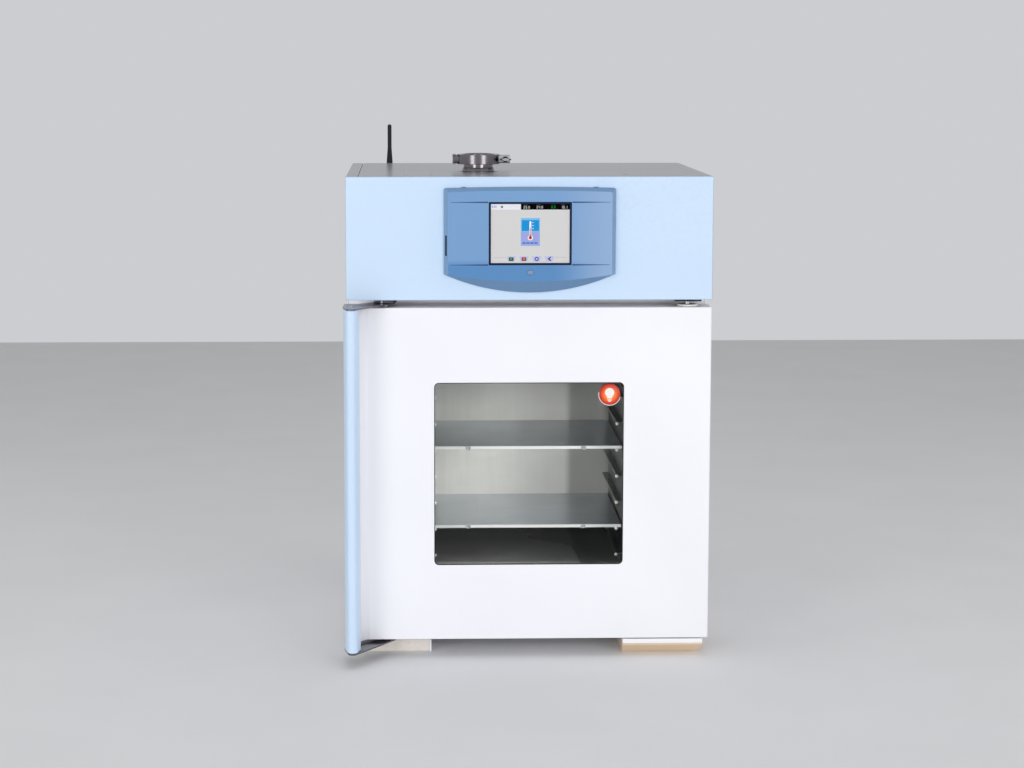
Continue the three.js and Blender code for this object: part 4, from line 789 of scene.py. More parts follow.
def boardMaterial(name, look):
    material, tree, shader, where = startMaterial(name)
    blocks = put(tree, "TexVoronoi", (-760, 100), {"Vector": where, "Scale": 90.0},
                 distance="CHEBYCHEV").outputs["Distance"]
    tracks = ramp(tree, (-560, 100), blocks, 0.34, 0.36)
    color = mixed(tree, (-360, 100), tracks, linear(*look["ground"]), linear(*look["track"]))
    skin = grained(tree, (-160, 100), where, color, 1800.0, 0.05, (0.3, 0.5))
    dress(tree, shader, skin["Color"], skin["Roughness"], tracks, 0.2, 0.0001)
    return material


# material name, what makes it and its look
recipes = [(name, paintMaterial, look) for name, look in paintLooks.items()]
recipes += [(name, metalMaterial, look) for name, look in metalLooks.items()]
recipes += [(name, plasticMaterial, look) for name, look in plasticLooks.items()]
recipes += [("clearGlass", glassMaterial, glassLook),
            ("displayGlass", displayMaterial, displayLook),
            ("lightKeyRed", lightKeyMaterial, lightKey), ("mineralWool", woolMaterial, woolLook),
            ("heaterFoil", heaterMaterial, heaterLook), ("circuitBoard", boardMaterial, boardLook)]
materials = {name: make(name, look) for name, make, look in recipes}
print("materials made,", len(materials))

# body and head

body = dict(half=270, depth=420, height=719.4, headLow=537.7, sheet=1.5, seam=0.3)
fascia = dict(corner=2.0, fold=14, foldHalf=268.2, edge=1.35)
roof = dict(left=-252.0, right=252.7, front=1.8, hole=28, screwReach=145, screwY=52)
roofScrew = [(0, 0.35), (0.5, 0.35), (0.9, 0.95), (1.9, 1.0), (2.6, 0.75), (3.0, 0.3),
             (3.0, 0.02), (0, 0.02)]
rearScrew = [(0, 0.9), (1.0, 0.9), (1.3, 1.5), (2.4, 1.5), (3.2, 1.0), (3.5, 0.1),
             (3.5, -0.3), (0, -0.3)]
rearScrewsAt = dict(x=(-258, -86, 86, 258), z=(28, 370, 708))
# the left skid's right end as the photograph shows it, and the right skid's upright corner
skid = dict(brightStripLeft=-147.6, moved=((-146, -147.5), (-144, -147), (-142, -145)), upright=142,
            cornerWidth=20)
port = dict(x=-70.8, y=153, z=738.4, tube=22.25, wall=2, flange=27.5, gap=1.95, rim=2.05,
            cone=1.4, foot=430)


def buildBody():
    sheet, high, half = body["sheet"], body["height"], body["half"]
    plate = roundedRect(-half, half, body["headLow"], high, fascia["corner"], 5)
    foldLow = body["headLow"] + sheet + body["seam"]
    foldHigh = high - sheet - body["seam"]
    foldHalf = fascia["foldHalf"]
    foldOuter = square(-foldHalf, foldHalf, foldLow, foldHigh)
    foldInner = square(-foldHalf + sheet, foldHalf - sheet, foldLow + sheet, foldHigh - sheet)
    makePiece("fascia_tray", "cabinet",
              joined(slab("y", plate, 0, sheet),
                     ringSlab("y", foldOuter, foldInner, sheet - 0.1, fascia["fold"])),
              "paleBluePaint", ["control_fascia"], bevel=fascia["edge"], steps=4, clamp=False)

    roofSheet = slab("z", square(roof["left"], roof["right"], roof["front"], body["depth"]),
                     high - sheet, high)
    hole = disc("z", (port["x"], port["y"], high), roof["hole"], -6, 6, 72)
    makePiece("cover_sheet", "cabinet", roofSheet, "coverGreyAndShade", ["top_cover"], bevel=0.5,
              cuts=[hole])
    for side, sign in (("left", -1), ("right", 1)):
        makePiece("cover_screw_" + side, "cabinet",
                  turned("z", (sign * roof["screwReach"], roof["screwY"], high), roofScrew, 32),
                  "fittingSteel", smoothAngle=50)

    for side in ("left", "right"):
        panel = refine(side + "_side_panel", "whitePaint", 0.7, 3)
        # painted shade: the side panels' top faces take the cover's darker grey
        lookOnFaces(panel, "coverGreyAndShade", lambda face: face.normal.z > 0.9
                    and face.center.z > (high - 0.1) / 1000)
    for node in ("base_panel", "front_frame", "head_floor"):
        refine(node, "whitePaint", 0.3)
    refine("rear_panel", "whitePaint", 0.35)

    leftSkid = refine("left_skid", "creamPaint", 0.6, 3)
    for vert in leftSkid.data.vertices:
        for old, new in skid["moved"]:
            if abs(vert.co.x * 1000 - shiftX - old) < 0.3:
                vert.co.x = (new + shiftX) / 1000
                break
    # painted highlight: the faces at the left skid's right end take the whiter paint
    brightStripAt = (skid["brightStripLeft"] + shiftX) / 1000
    lookOnFaces(leftSkid, "whitePaint", lambda face: face.center.x > brightStripAt)
    rightSkid = refine("right_skid", "skidShadePaint", 0.6, 3)
    cornerAt = (skid["upright"] + skid["cornerWidth"] + shiftX) / 1000
    for vert in rightSkid.data.vertices:
        if vert.co.z < 0.0005 and vert.co.x < cornerAt:
            vert.co.x = (skid["upright"] + shiftX) / 1000

    # pan-head screws hold the rear panel all round
    screws = [turned("y", (x, body["depth"], z), rearScrew, 24)
              for x in rearScrewsAt["x"] for z in rearScrewsAt["z"]]
    makePiece("rear_screws", "cabinet", joined(*screws), "fittingSteel", smoothAngle=50)


# door with its window, hinge washer and touch key

door = dict(left=-252, right=270, low=27, high=526.3, depth=45, sheet=2, sweep=13, corner=3)
window = dict(half=140.8, low=139.95, high=414.85, corner=7)
windowLip = dict(lip=1.3, front=0.5, back=2.25)
hinge = dict(x=236, y=24, radius=5.3,
             washer=[(5.3, 0.3), (14.9, 0.3), (15.5, 0.8), (15.5, 2.2), (14.9, 2.8), (5.9, 2.8),
                     (5.3, 2.3)])
lever = dict(x=-213, y=24, radius=6.5)


def windowOutline(inset, corner):
    return roundedRect(-window["half"] + inset, window["half"] - inset, window["low"] + inset,
                       window["high"] - inset, corner, 8)


def buildDoor():
    sheet, sweep, corner = door["sheet"], door["sweep"], door["corner"]
    left, right, low, high = door["left"], door["right"], door["low"], door["high"]
    outline = [(right, door["depth"])]
    outline += arcPoints(right - corner, corner, corner, 0, -90, 8)
    outline += arcPoints(left + sheet + sweep, -sweep, sweep, 90, 180, 20)
    outline += [(left, -sweep), (left, door["depth"])]
    hollow = slab("z", square(left + sheet, right - sheet, sheet, door["depth"] + 5),
                  low + sheet, high - sheet)
    opening = slab("y", windowOutline(0, window["corner"]), -5, sheet + 5)
    holes = [disc("z", (pivot["x"], pivot["y"], 0), pivot["radius"], start, end)
             for pivot in (hinge, lever)
             for start, end in ((low - 5, low + 4), (high - 4, high + 5))]
    pan = makePiece("door_pan", "door", slab("z", outline, low, high), "whitePaint",
                    ["door_panel"], bevel=0.7, steps=3, cuts=[hollow])
    carve(pan, [opening])
    carve(pan, holes)
    applyLooks(pan, ["whitePaint"], 35)
    roundEdges(pan, 0.7, 3, 32)

    # dark rubber lip between the pan and the pane
    lip = windowLip["lip"]
    makePiece("window_lip", "door",
              ringSlab("y", windowOutline(0.05, window["corner"]),
                       windowOutline(lip, window["corner"] - lip),
                       windowLip["front"], windowLip["back"]),
              "blackRubber", bevel=0.3)

    refine("window_pane", "clearGlass", 0.5)
    refine("window_surround", "whitePaint", 0.3)
    refine("vacuum_glass", "clearGlass", 1.0)
    refine("door_inner_frame", "whitePaint", 0.4)
    makePiece("hinge_washer", "door",
              turned("z", (hinge["x"], hinge["y"], high), hinge["washer"], 64),
              "markWhite", ["hinge_disc"], smoothAngle=50)


def buildLightKey():
    x, y, z = lightKey["x"], lightKey["y"], lightKey["z"]
    radius, proud = lightKey["radius"], lightKey["proud"]
    button = [(0, 0), (radius, 0), (radius, -proud * 0.4), (radius - 0.5, -proud * 0.75),
              (radius - 1.4, -proud * 0.95), (0, -proud)]
    makePiece("light_key_button", "door", turned("y", (x, y, z), button, 72), "lightKeyRed",
              ["light_key"], smoothAngle=50)
    # painted highlight: a white crescent on the lower left of the key's rim
    rim = [(radius - 0.8, -proud * 0.8), (radius + 0.2, -proud * 0.3),
           (radius + 0.2, -proud * 0.9), (radius - 0.4, -proud - 0.1)]
    makePiece("light_key_glint", "door", turned("y", (x, y, z), rim, 48, 168, 345), "markWhite",
              smoothAngle=60)
    # the lamp symbol: a bulb, its neck and the turns of its cap
    back, front = y - proud + 0.3, y - proud - 0.2
    bulb = arcPoints(x, z + 2.8, 6.8, -50, 230, 40) + [(x - 3.4, z - 5.6), (x + 3.4, z - 5.6)]
    marks = [slab("y", bulb, front, back)]
    for drop, half in ((7.1, 3.3), (8.9, 3.0), (10.6, 1.9)):
        turn = roundedRect(x - half, x + half, z - drop - 0.5, z - drop + 0.5, 0.45, 3)
        marks.append(slab("y", turn, front, back))
    makePiece("light_key_symbol", "door", joined(*marks), "markWhite", bevel=0.1)


# handle: hollow bar on two arms

handle = dict(left=-273, right=-250, nose=-66, back=-38, flank=-44, noseRadius=7.5, wall=2.5,
              low=23.5, high=529.8)
boss = dict(z=532.5, profile=[(6.5, 0.1), (17.2, 0.1), (17.6, 0.5), (17.6, 4.0), (17.2, 4.4),
                              (6.5, 4.4)])
armScrews = dict(x=-262, y=(-52, -30), z=532.4,
                 profile=[(0, -0.3), (2.4, -0.3), (2.4, 0.4), (1.8, 0.75), (0, 0.8)])


def barOutline(grow):
    left, right = handle["left"] - grow, handle["right"] + grow
    back, radius = handle["back"] + grow, handle["noseRadius"]
    points = [(right, handle["flank"]), (right, back), (left, back), (left, handle["flank"])]
    middle = (handle["left"] + handle["right"]) / 2
    return points + arcPoints(middle, handle["nose"] + radius, radius + grow, 198, 342, 32)


def buildHandle():
    grip = ringSlab("z", barOutline(0), barOutline(-handle["wall"]), handle["low"], handle["high"])
    makePiece("handle_grip", "lever_handle", grip, "paleBluePaint", ["handle_bar"], bevel=0.6,
              steps=3, smoothAngle=28, bevelAngle=40)
    refine("handle_arm_top", "armSteel", 0.35)
    refine("handle_arm_bottom", "armSteel", 0.35)
    # glossy boss on the arm under the head
    makePiece("handle_boss", "lever_handle",
              turned("z", (lever["x"], lever["y"], boss["z"]), boss["profile"], 64),
              "bossSteel", smoothAngle=30)
    refine("handle_shaft", "fittingSteel", 0.3)
    heads = [turned("z", (armScrews["x"], y, armScrews["z"]), armScrews["profile"], 24)
             for y in armScrews["y"]]
    makePiece("arm_screws", "lever_handle", joined(*heads), "fittingSteel", smoothAngle=50)


# chamber with its racks and shelves, and what surrounds it

rack = dict(lowest=137.1, pitch=40.6, count=7, reach=139.6, front=85.2, back=322, wire=1.5,
            wireDrop=1.6, capInset=0.8,
            cap=[(0, -2.2), (0.9, -2.0), (1.7, -1.4), (2.4, -0.6), (2.4, 2.0), (0, 2.0)])
catch = dict(x=(-88, 88), half=3.6, low=-1.2, high=4.2, corner=1.2, front=85.1, back=87.2)
hiddenLooks = {"insulation_jacket": "mineralWool", "heater_left": "heaterFoil",
               "heater_right": "heaterFoil", "heater_bottom": "heaterFoil",
               "controller_board": "circuitBoard", "power_supply": "aluminium",
               "pressure_sensor": "fittingSteel", "vacuum_valve": "blackPlastic"}


def buildChamber():
    refine("chamber_shell", "chamberSteel", 0, smoothAngle=40)
    refine("chamber_gasket", "siliconeSeal", 0.3)
    for side in ("left", "right"):
        refine(side + "_rack", "rackSteel", 0.3)
    # a wire runs in the inner edge of every ledge; white end pieces on the wires paint the glint on
    # the ledge ends
    front = rack["front"]
    wire = [(0, front), (rack["wire"], front), (rack["wire"], rack["back"]), (0, rack["back"])]
    cap = [(radius, front + along) for radius, along in rack["cap"]]
    for side, sign in (("left", -1), ("right", 1)):
        wires, glintCaps = [], []
        for level in range(rack["count"]):
            z = rack["lowest"] + level * rack["pitch"] - rack["wireDrop"]
            wires.append(turned("y", (sign * rack["reach"], 0, z), wire, 20))
            glintCaps.append(turned("y", (sign * (rack["reach"] - rack["capInset"]), 0, z), cap, 24))
        makePiece(side + "_rack_wires", "cabinet", joined(*wires), "fittingSteel", smoothAngle=50)
        makePiece(side + "_rack_glint_caps", "cabinet", joined(*glintCaps), "markWhite", smoothAngle=60)
    # pressed catches stop each shelf against its ledge
    for name, low in (("lower_shelf", 178.0), ("upper_shelf", 299.8)):
        shelf = refine(name, "shelfSteel", 0.4)
        # painted highlight: the shelves' front edges are white
        lookOnFaces(shelf, "markWhite", lambda face: face.normal.y < -0.9)
        catches = [slab("y", roundedRect(x - catch["half"], x + catch["half"], low + catch["low"],
                                         low + catch["high"], catch["corner"], 4),
                        catch["front"], catch["back"]) for x in catch["x"]]
        makePiece(name + "_catches", name, joined(*catches), "fittingSteel", bevel=0.35)
    for node, look in hiddenLooks.items():
        mesh = frame["nodes"][node].data
        mesh.materials.clear()
        mesh.materials.append(materials[look])


# vacuum port: tube, collar, ring with seal and blank, all turned about one axis

portCentre = (port["x"], port["y"], port["z"])
portCollar = [(22.4, 0.1), (28.6, 0.1), (28.6, 0.5), (25.4, 0.9), (23.6, 6.0), (22.4, 6.4)]


def buildPort():
    outer, flange, gap = port["tube"], port["flange"], port["gap"]
    bore = outer - port["wall"]
    rimBack = gap + port["rim"]
    neck = rimBack + port["cone"]
    bottom = port["foot"] - port["z"]
    shelf = bottom + 3.3
    tube = [(bore, bottom), (outer, bottom), (outer, shelf), (flange, shelf), (flange, shelf + 3),
            (outer, shelf + 3), (outer, -neck), (flange - 0.3, -rimBack - 0.1),
            (flange, -rimBack + 0.3), (flange, -gap - 0.3), (flange - 0.3, -gap), (bore, -gap)]
    top = neck + 3
    blank = [(0, gap), (flange, gap), (flange, rimBack), (outer, neck), (outer, top - 0.7),
             (outer - 0.7, top), (outer - 1.7, top), (outer - 2.1, top - 1.1),
             (outer - 3.0, top - 1.4), (0, top - 1.4)]
    # the dark collar closes the hole in the cover
    base = body["height"] - port["z"]
    collar = [(radius, base + height) for radius, height in portCollar]
    makePiece("port_neck", "cabinet", turned("z", portCentre, tube, 96), "portSteel",
              ["port_tube"], smoothAngle=40)
    makePiece("port_collar", "cabinet", turned("z", portCentre, collar, 96), "clampMetal",
              smoothAngle=30)
    makePiece("port_blank", "cabinet", turned("z", portCentre, blank, 96), "portSteel",
              ["port_blank_flange"], smoothAngle=30)
    refine("port_centring_ring", "aluminium", 0.15)
    seal = arcPoints(24.9, 0, 1.65, 0, 345, 23)
    makePiece("port_seal_ring", "cabinet", turned("z", portCentre, seal, 96), "blackRubber",
              ["port_o_ring"], smoothAngle=60)


# two half rings with ears for the bolt on the right and lugs for the link on the left
clampRing = dict(outer=33, half=7.3, lip=25.5, lipHalf=5.0, groove=28, grooveHalf=4.3,
                 split=0.8, sweep=178.4, earHalf=6, earFar=10.7, earReach=15.2, lugFar=9.0,
                 lugReach=5.6, root=3.5, corner=2.0)
wingFace = dict(x=-29.8, z=738.4, front=129.0, half=5.4, high=1.9, facets=72)
linkPin = dict(reach=3.4, apart=5, radius=1.3, half=8.0)


def buildClamp():
    outer, half, lip = clampRing["outer"], clampRing["half"], clampRing["lip"]
    lipHalf, groove, grooveHalf = clampRing["lipHalf"], clampRing["groove"], clampRing["grooveHalf"]
    split, root = clampRing["split"], clampRing["root"]
    profile = [(lip, -half), (outer, -half), (outer, half), (lip, half), (lip, lipHalf),
               (groove, grooveHalf), (groove, -grooveHalf), (lip, -lipHalf)]
    low, high = port["z"] - clampRing["earHalf"], port["z"] + clampRing["earHalf"]
    earAt = (port["x"] + outer + shiftX) / 1000

    def tab(sign, far, start, end):
        near, off = sorted((port["y"] + sign * split, port["y"] + sign * far))
        return slab("x", roundedRect(near, off, low, high, clampRing["corner"], 5), start, end)

    for name, sign, start in (("front", -1, 180 + split), ("rear", 1, split)):
        ring = turned("z", portCentre, profile, 60, start, start + clampRing["sweep"])
        ear = tab(sign, clampRing["earFar"], port["x"] + outer - root,
                  port["x"] + outer + clampRing["earReach"])
        lug = tab(sign, clampRing["lugFar"], port["x"] - outer - clampRing["lugReach"],
                  port["x"] - outer + root)
        clamp = makePiece("clamp_" + name, "cabinet", joined(ring, ear, lug), "clampMetal",
                          ["clamp_half_" + name], bevel=0.6, steps=3, bevelAngle=50)
        # painted highlight: the ears' faces take the paler aluminium look
        lookOnFaces(clamp, "aluminium", lambda face: face.center.x > earAt)
    refine("clamp_link", "fittingSteel", 0.3)
    refine("clamp_bolt", "fittingSteel", 0.25)
    refine("clamp_wing_nut", "darkSteel", 0.3)
    oval = [(wingFace["x"] + wingFace["half"] * cos(radians(360 / wingFace["facets"] * i)),
             wingFace["z"] + wingFace["high"] * sin(radians(360 / wingFace["facets"] * i)))
            for i in range(wingFace["facets"])]
    makePiece("wing_nut_face", "clamp_wing_nut",
              slab("y", oval, wingFace["front"] - 0.3, wingFace["front"] + 0.4),
              "aluminium", bevel=0.15)
    pins = [disc("z", (port["x"] - outer - linkPin["reach"], port["y"] + sign * linkPin["apart"],
                       port["z"]), linkPin["radius"], -linkPin["half"], linkPin["half"], 24)
            for sign in (-1, 1)]
    makePiece("clamp_link_pins", "cabinet", joined(*pins), "fittingSteel", bevel=0.3)


# operator panel: moulded surround, screen and standby key

bezel = dict(half=126.2, top=702.9, sideLow=576.4, belly=27.1, arch=1.8, depth=14, rim=4,
             chamfer=3, bevelSide=6, bevelTop=5, bevelBottom=17)
grooves = dict(z=(591.0, 682.8), far=117.0, nearDeep=2.2, nearHalf=1.2, farDeep=0.06, farHalf=0.5)
cardSlot = dict(left=-124.4, right=-122.0, low=604.0, high=634.0, front=-1.5, back=-7.0)
latchTabs = dict(x=(-97, 97), half=3.3, high=1.5, front=-3.4, back=-0.4)
screen = dict(half=57.6, low=593.7, high=680.1, front=-12.4, trim=1.9)
key = dict(z=579.8, width=8.6, height=6.8)


def archPoints(halfChord, endHeight, rise, steps):
    radius = (halfChord ** 2 + rise ** 2) / (2 * abs(rise))
    sign = 1 if rise > 0 else -1
    points = []
    for i in range(steps + 1):
        x = halfChord * (2 * i / steps - 1)
        points.append((x, endHeight + sign * (sqrt(radius ** 2 - x ** 2) - (radius - abs(rise)))))
    return points


# share runs from the bezel's outer edge (0) to the edge of its face (1)
def bezelOutline(share):
    chamfer = bezel["chamfer"]
    half = bezel["half"] - bezel["bevelSide"] * share
    top = bezel["top"] - bezel["bevelTop"] * share
    drop = bezel["belly"] - bezel["bevelBottom"] * share
    belly = archPoints(half, bezel["sideLow"], -drop, 40)
    crown = archPoints(half - chamfer, top, bezel["arch"], 24)[::-1]
    right = arcPoints(half - chamfer, top - chamfer, chamfer, 0, 80, 5)
    left = arcPoints(-half + chamfer, top - chamfer, chamfer, 100, 180, 5)
    return belly + right + crown + left


# an outline round the screen, larger by so much at its sides, below and above
def screenOutline(side, below, above, corner):
    return roundedRect(-screen["half"] - side, screen["half"] + side, screen["low"] - below,
                       screen["high"] + above, corner, 4)


def keyOutline(grow, corner, steps):
    wide, tall = key["width"] / 2 + grow, key["height"] / 2 + grow
    return roundedRect(-wide, wide, key["z"] - tall, key["z"] + tall, corner, steps)


def buildBezel():
    # rings from the fascia forward: the rim, the slope behind the face, and the face
    front = -bezel["depth"]
    rings = [(-0.3, bezelOutline(0)), (-bezel["rim"], bezelOutline(0)), (front, bezelOutline(1))]
    trim = screen["trim"] + 1.3
    slot = [cardSlot[side] for side in ("left", "right", "low", "high")]
    cuts = [slab("y", screenOutline(trim, trim, trim, 1.2), front - 5, 5),
            slab("y", keyOutline(0.3, 3.6, 8), front - 5, 5),
            slab("y", square(*slot), front - 5, cardSlot["front"])]
    shell = makePiece("bezel_shell", "cabinet", loft(rings), "bezelPlastic", ["panel_bezel"],
                      cuts=cuts, smoothAngle=40)
    # two shallow grooves that run out towards the sides
    sides = [(0, 1, 2, 3), (4, 5, 6, 7), (0, 1, 5, 4), (1, 2, 6, 5), (2, 3, 7, 6), (3, 0, 4, 7)]
    near = screen["half"] + trim + 1.0
    ends = ((near, grooves["nearDeep"], grooves["nearHalf"]),
            (grooves["far"], grooves["farDeep"], grooves["farHalf"]))
    wedges = []
    for z in grooves["z"]:
        for sign in (-1, 1):
            verts = []
            for x, deep, wide in ends:
                verts += [(sign * x, front - 1, z - wide), (sign * x, front - 1, z + wide),
                          (sign * x, front + deep, z + 0.6 * wide),
                          (sign * x, front + deep, z - 0.6 * wide)]
            wedges.append((verts, sides))
    carve(shell, wedges)
    applyLooks(shell, ["bezelPlastic", "bezelEdgeShade", "bezelGrooveShade", "bezelSideShade", "bezelCrownShade"], 25)
    faceY = place(0, front + 0.01, 0).y
    # faces that turn from the front take the darker copies: painted shade on the edges, sides and
    # crown and in the grooves
    for polygon in shell.data.polygons:
        normal, middle = polygon.normal, polygon.center
        inGroove = min(abs(middle.z * 1000 - z) for z in grooves["z"]) < 1.3
        if inGroove and middle.y > faceY and abs(normal.x) < 0.5:
            polygon.material_index = 2
        elif normal.y > -0.97:
            polygon.material_index = 3 if abs(normal.x) > 0.5 else 4 if normal.z > 0.3 else 1
    roundEdges(shell, 0.6, 3, 30)

    # painted shade: a dark sheet at the bottom of the card slot, and the two latch tabs on the
    # upper edge in the dark groove colour
    bottom = square(slot[0] + 0.1, slot[1] - 0.1, slot[2] + 0.1, slot[3] - 0.1)
    makePiece("card_slot", "cabinet", slab("y", bottom, cardSlot["back"], cardSlot["front"] - 0.1),
              "recessShade")
    half, high = latchTabs["half"], latchTabs["high"]
    tabs = [slab("y", roundedRect(x - half, x + half, bezel["top"] - high, bezel["top"] + high,
                                  0.5, 3), latchTabs["front"], latchTabs["back"])
            for x in latchTabs["x"]]
    makePiece("bezel_tabs", "cabinet", joined(*tabs), "bezelGrooveShade", bevel=0.2)

    # painted shade: a dark ring fills the opening's chamfer round the screen
    screenFrame = ringSlab("y", screenOutline(2.3, 2.6, 3.1, 1.1),
                           screenOutline(0.35, 0.35, 0.35, 0.6), -13.6, -9.5)
    makePiece("screen_frame", "cabinet", screenFrame, "recessShade", bevel=0.35)

    capRings = [(-8.9, 1), (-10.6, 1), (-10.6, 0), (-14.4, 0), (-14.85, -0.35), (-15.0, -0.9)]
    cap = loft([(y, keyOutline(grow, key["height"] / 2 + grow - 0.15, 10)) for y, grow in capRings])
    makePiece("standby_button", "standby_key", cap, "keyGrey", ["standby_key"], smoothAngle=40)


# a generic controller picture, drawn in shares of the screen's width and of its height from the top
displayTones = dict(ground=(214, 213, 213), pale=(232, 232, 240), black=(3, 3, 4),
                    digit=(220, 220, 220), green=(30, 156, 48), white=(246, 248, 252),
                    red=(206, 64, 48), rim=(24, 26, 32), tab=(190, 194, 232))
strokes = {"0": "abcdef", "1": "bc", "2": "abged", "4": "fgbc", "5": "afgcd", "8": "abcdefg"}


def buildDisplay():
    width = 2 * screen["half"]
    height = screen["high"] - screen["low"]
    front = screen["front"]
    tones = displayTones
    verts, faces, tints = [], [], []

    def add(shape, tint):
        base = len(verts)
        verts.extend(shape[0])
        for face in shape[1]:
            faces.append(tuple(base + i for i in face))
            tints.append(linear(*tint))

    def at(u, v):
        return -screen["half"] + u * width, screen["high"] - v * height

    # each layer lies a little in front of the one before
    def sheet(outline, tint, layer):
        add(slab("y", outline, front - 0.04 * layer, front + 0.02), tint)

    def bar(u0, v0, u1, v1, tint, layer=1, radius=0.0):
        x0, z1 = at(u0, v0)
        x1, z0 = at(u1, v1)
        sheet(roundedRect(x0, x1, z0, z1, radius, 4) if radius else square(x0, x1, z0, z1),
              tint, layer)

    def dot(u, v, radius, tint, layer=1, sides=28):
        x, z = at(u, v)
        sheet(arcPoints(x, z, radius, 0, 360 - 360 / sides, sides - 1), tint, layer)

    def number(u, v, text, tint, tall=0.044, wide=0.018, thick=0.0042, deep=0.0062):
        for letter in text:
            if letter == ".":
                bar(u, v + tall - 0.010, u + 0.004, v + tall - 0.002, tint, 2)
                u += 0.009
                continue
            right, half, low = u + wide, v + tall / 2, v + tall
            boxes = {"a": (u, v, right, v + deep), "d": (u, low - deep, right, low),
                     "g": (u, half - deep / 2, right, half + deep / 2),
                     "f": (u, v, u + thick, half), "b": (right - thick, v, right, half),
                     "e": (u, half, u + thick, low), "c": (right - thick, half, right, low)}
            for stroke in strokes[letter]:
                bar(*boxes[stroke], tint, 2)
            u += wide + 0.008

    bar(0.0, 0.0, 1.0, 1.0, tones["ground"], 0.5)
    bar(0.0, 0.0, 0.38, 0.094, tones["pale"])              # pale end of the status bar
    bar(0.38, 0.0, 1.0, 0.094, tones["black"])
    for step in range(3):
        bar(0.013 + 0.022 * step, 0.026, 0.026 + 0.022 * step, 0.062, (150, 172, 222), 2)
    dot(0.140, 0.048, 1.7, (96, 122, 58), 2)
    for u, text, tint, label in ((0.415, "25.0", "digit", (82, 82, 84)),
                                 (0.580, "24.8", "digit", (82, 82, 84)),
                                 (0.765, "0.0", "green", (24, 90, 34)),
                                 (0.890, "10.1", "digit", (82, 82, 84))):
        number(u, 0.032, text, tones[tint])
        bar(u, 0.011, u + 0.052, 0.018, label, 2)
    bar(0.380, 0.235, 0.623, 0.710, (132, 190, 236), 1)    # process tile
    bar(0.392, 0.272, 0.611, 0.455, (36, 148, 214), 2)
    bar(0.386, 0.470, 0.617, 0.704, (160, 168, 222), 2)
    for step in range(4):
        bar(0.402 + 0.050 * step, 0.648, 0.442 + 0.050 * step, 0.674, (60, 122, 204), 3)
    bar(0.489, 0.290, 0.513, 0.560, tones["white"], 3, 1.3)      # thermometer
    dot(0.501, 0.572, 3.8, tones["white"], 3)
    dot(0.501, 0.572, 2.4, tones["red"], 4)
    bar(0.4965, 0.400, 0.5055, 0.572, tones["red"], 4)
    for step in range(3):
        bar(0.522, 0.310 + 0.050 * step, 0.544, 0.318 + 0.050 * step, tones["white"], 3)
    for u0, u1 in ((0.04, 0.185), (0.815, 0.96)):
        bar(u0, 0.900, u1, 0.907, (196, 176, 190))
    # four touch tabs: start, stop, settings and back
    for i, tint in enumerate(((34, 84, 44), (146, 70, 52), (74, 78, 168), (24, 34, 84))):
        middle = 0.259 + 0.162 * i
        x, z = at(middle, 0.930)
        sheet([(x - 4.8, z - 3.9), (x + 4.8, z - 3.9), (x + 7.0, z + 3.9), (x - 7.0, z + 3.9)],
              tones["tab"], 1)
        if i < 2:
            bar(middle - 0.030, 0.903, middle + 0.030, 0.966, tint, 2, 0.8)
            bar(middle - 0.014, 0.922, middle + 0.014, 0.940,
                (128, 176, 120) if i == 0 else (226, 150, 110), 3)
        elif i == 2:
            dot(middle, 0.932, 3.1, tint, 2)
            dot(middle, 0.932, 1.4, (206, 210, 240), 3)
        else:
            sheet([(x - 2.6, z), (x + 1.4, z + 3.2), (x + 3.2, z + 3.2), (x + 0.2, z),
                   (x + 3.2, z - 3.2), (x + 1.4, z - 3.2)], tint, 2)

    # the module behind it, with a thin dark rim
    for grow, start, end in ((3.3, -10.7, -2.7), (0.3, front, -10.7)):
        module = square(-screen["half"] - grow, screen["half"] + grow, screen["low"] - grow,
                        screen["high"] + grow)
        add(slab("y", module, start, end), tones["rim"])

    mesh = bpy.data.meshes.new("display_picture")
    mesh.from_pydata([place(*v) for v in verts], [], faces)
    layer = mesh.color_attributes.new(name="tint", type="FLOAT_COLOR", domain="CORNER")
    for polygon in mesh.polygons:
        for corner in polygon.loop_indices:
            layer.data[corner].color = tints[polygon.index]
    work = bmesh.new()
    work.from_mesh(mesh)
    bmesh.ops.recalc_face_normals(work, faces=work.faces)
    work.to_mesh(mesh)
    work.free()
    mesh.materials.append(materials["displayGlass"])
    piece = addObject("display_picture", mesh)
    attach(piece, "cabinet")
    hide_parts("display_screen")


# hinges, keeper and rear fittings

bracket = dict(left=216, right=256, front=6, back=73.7, low=534.2, high=537.4, corner=6)
fittings = {"upper_hinge_pin": ("fittingSteel", 0.3), "lower_hinge_plate": ("whitePaint", 0.4),
            "lower_hinge_pin": ("fittingSteel", 0.3), "latch_keeper": ("blackSteelPaint", 0.4),
            "vacuum_pipe": ("fittingSteel", 0.3), "gas_inlet_pipe": ("fittingSteel", 0.25),
            "power_inlet": ("blackPlastic", 0.4), "data_socket": ("blackPlastic", 0.3),
            "antenna_connector": ("fittingSteel", 0.25), "antenna_knuckle": ("blackPlastic", 0.4),
            "mains_rocker": ("signalRed", 0.4)}
aerial = dict(x=-209, z=695, pinY=434.8, root=5, tip=3.3, length=88, taper=27, rodFrom=50)


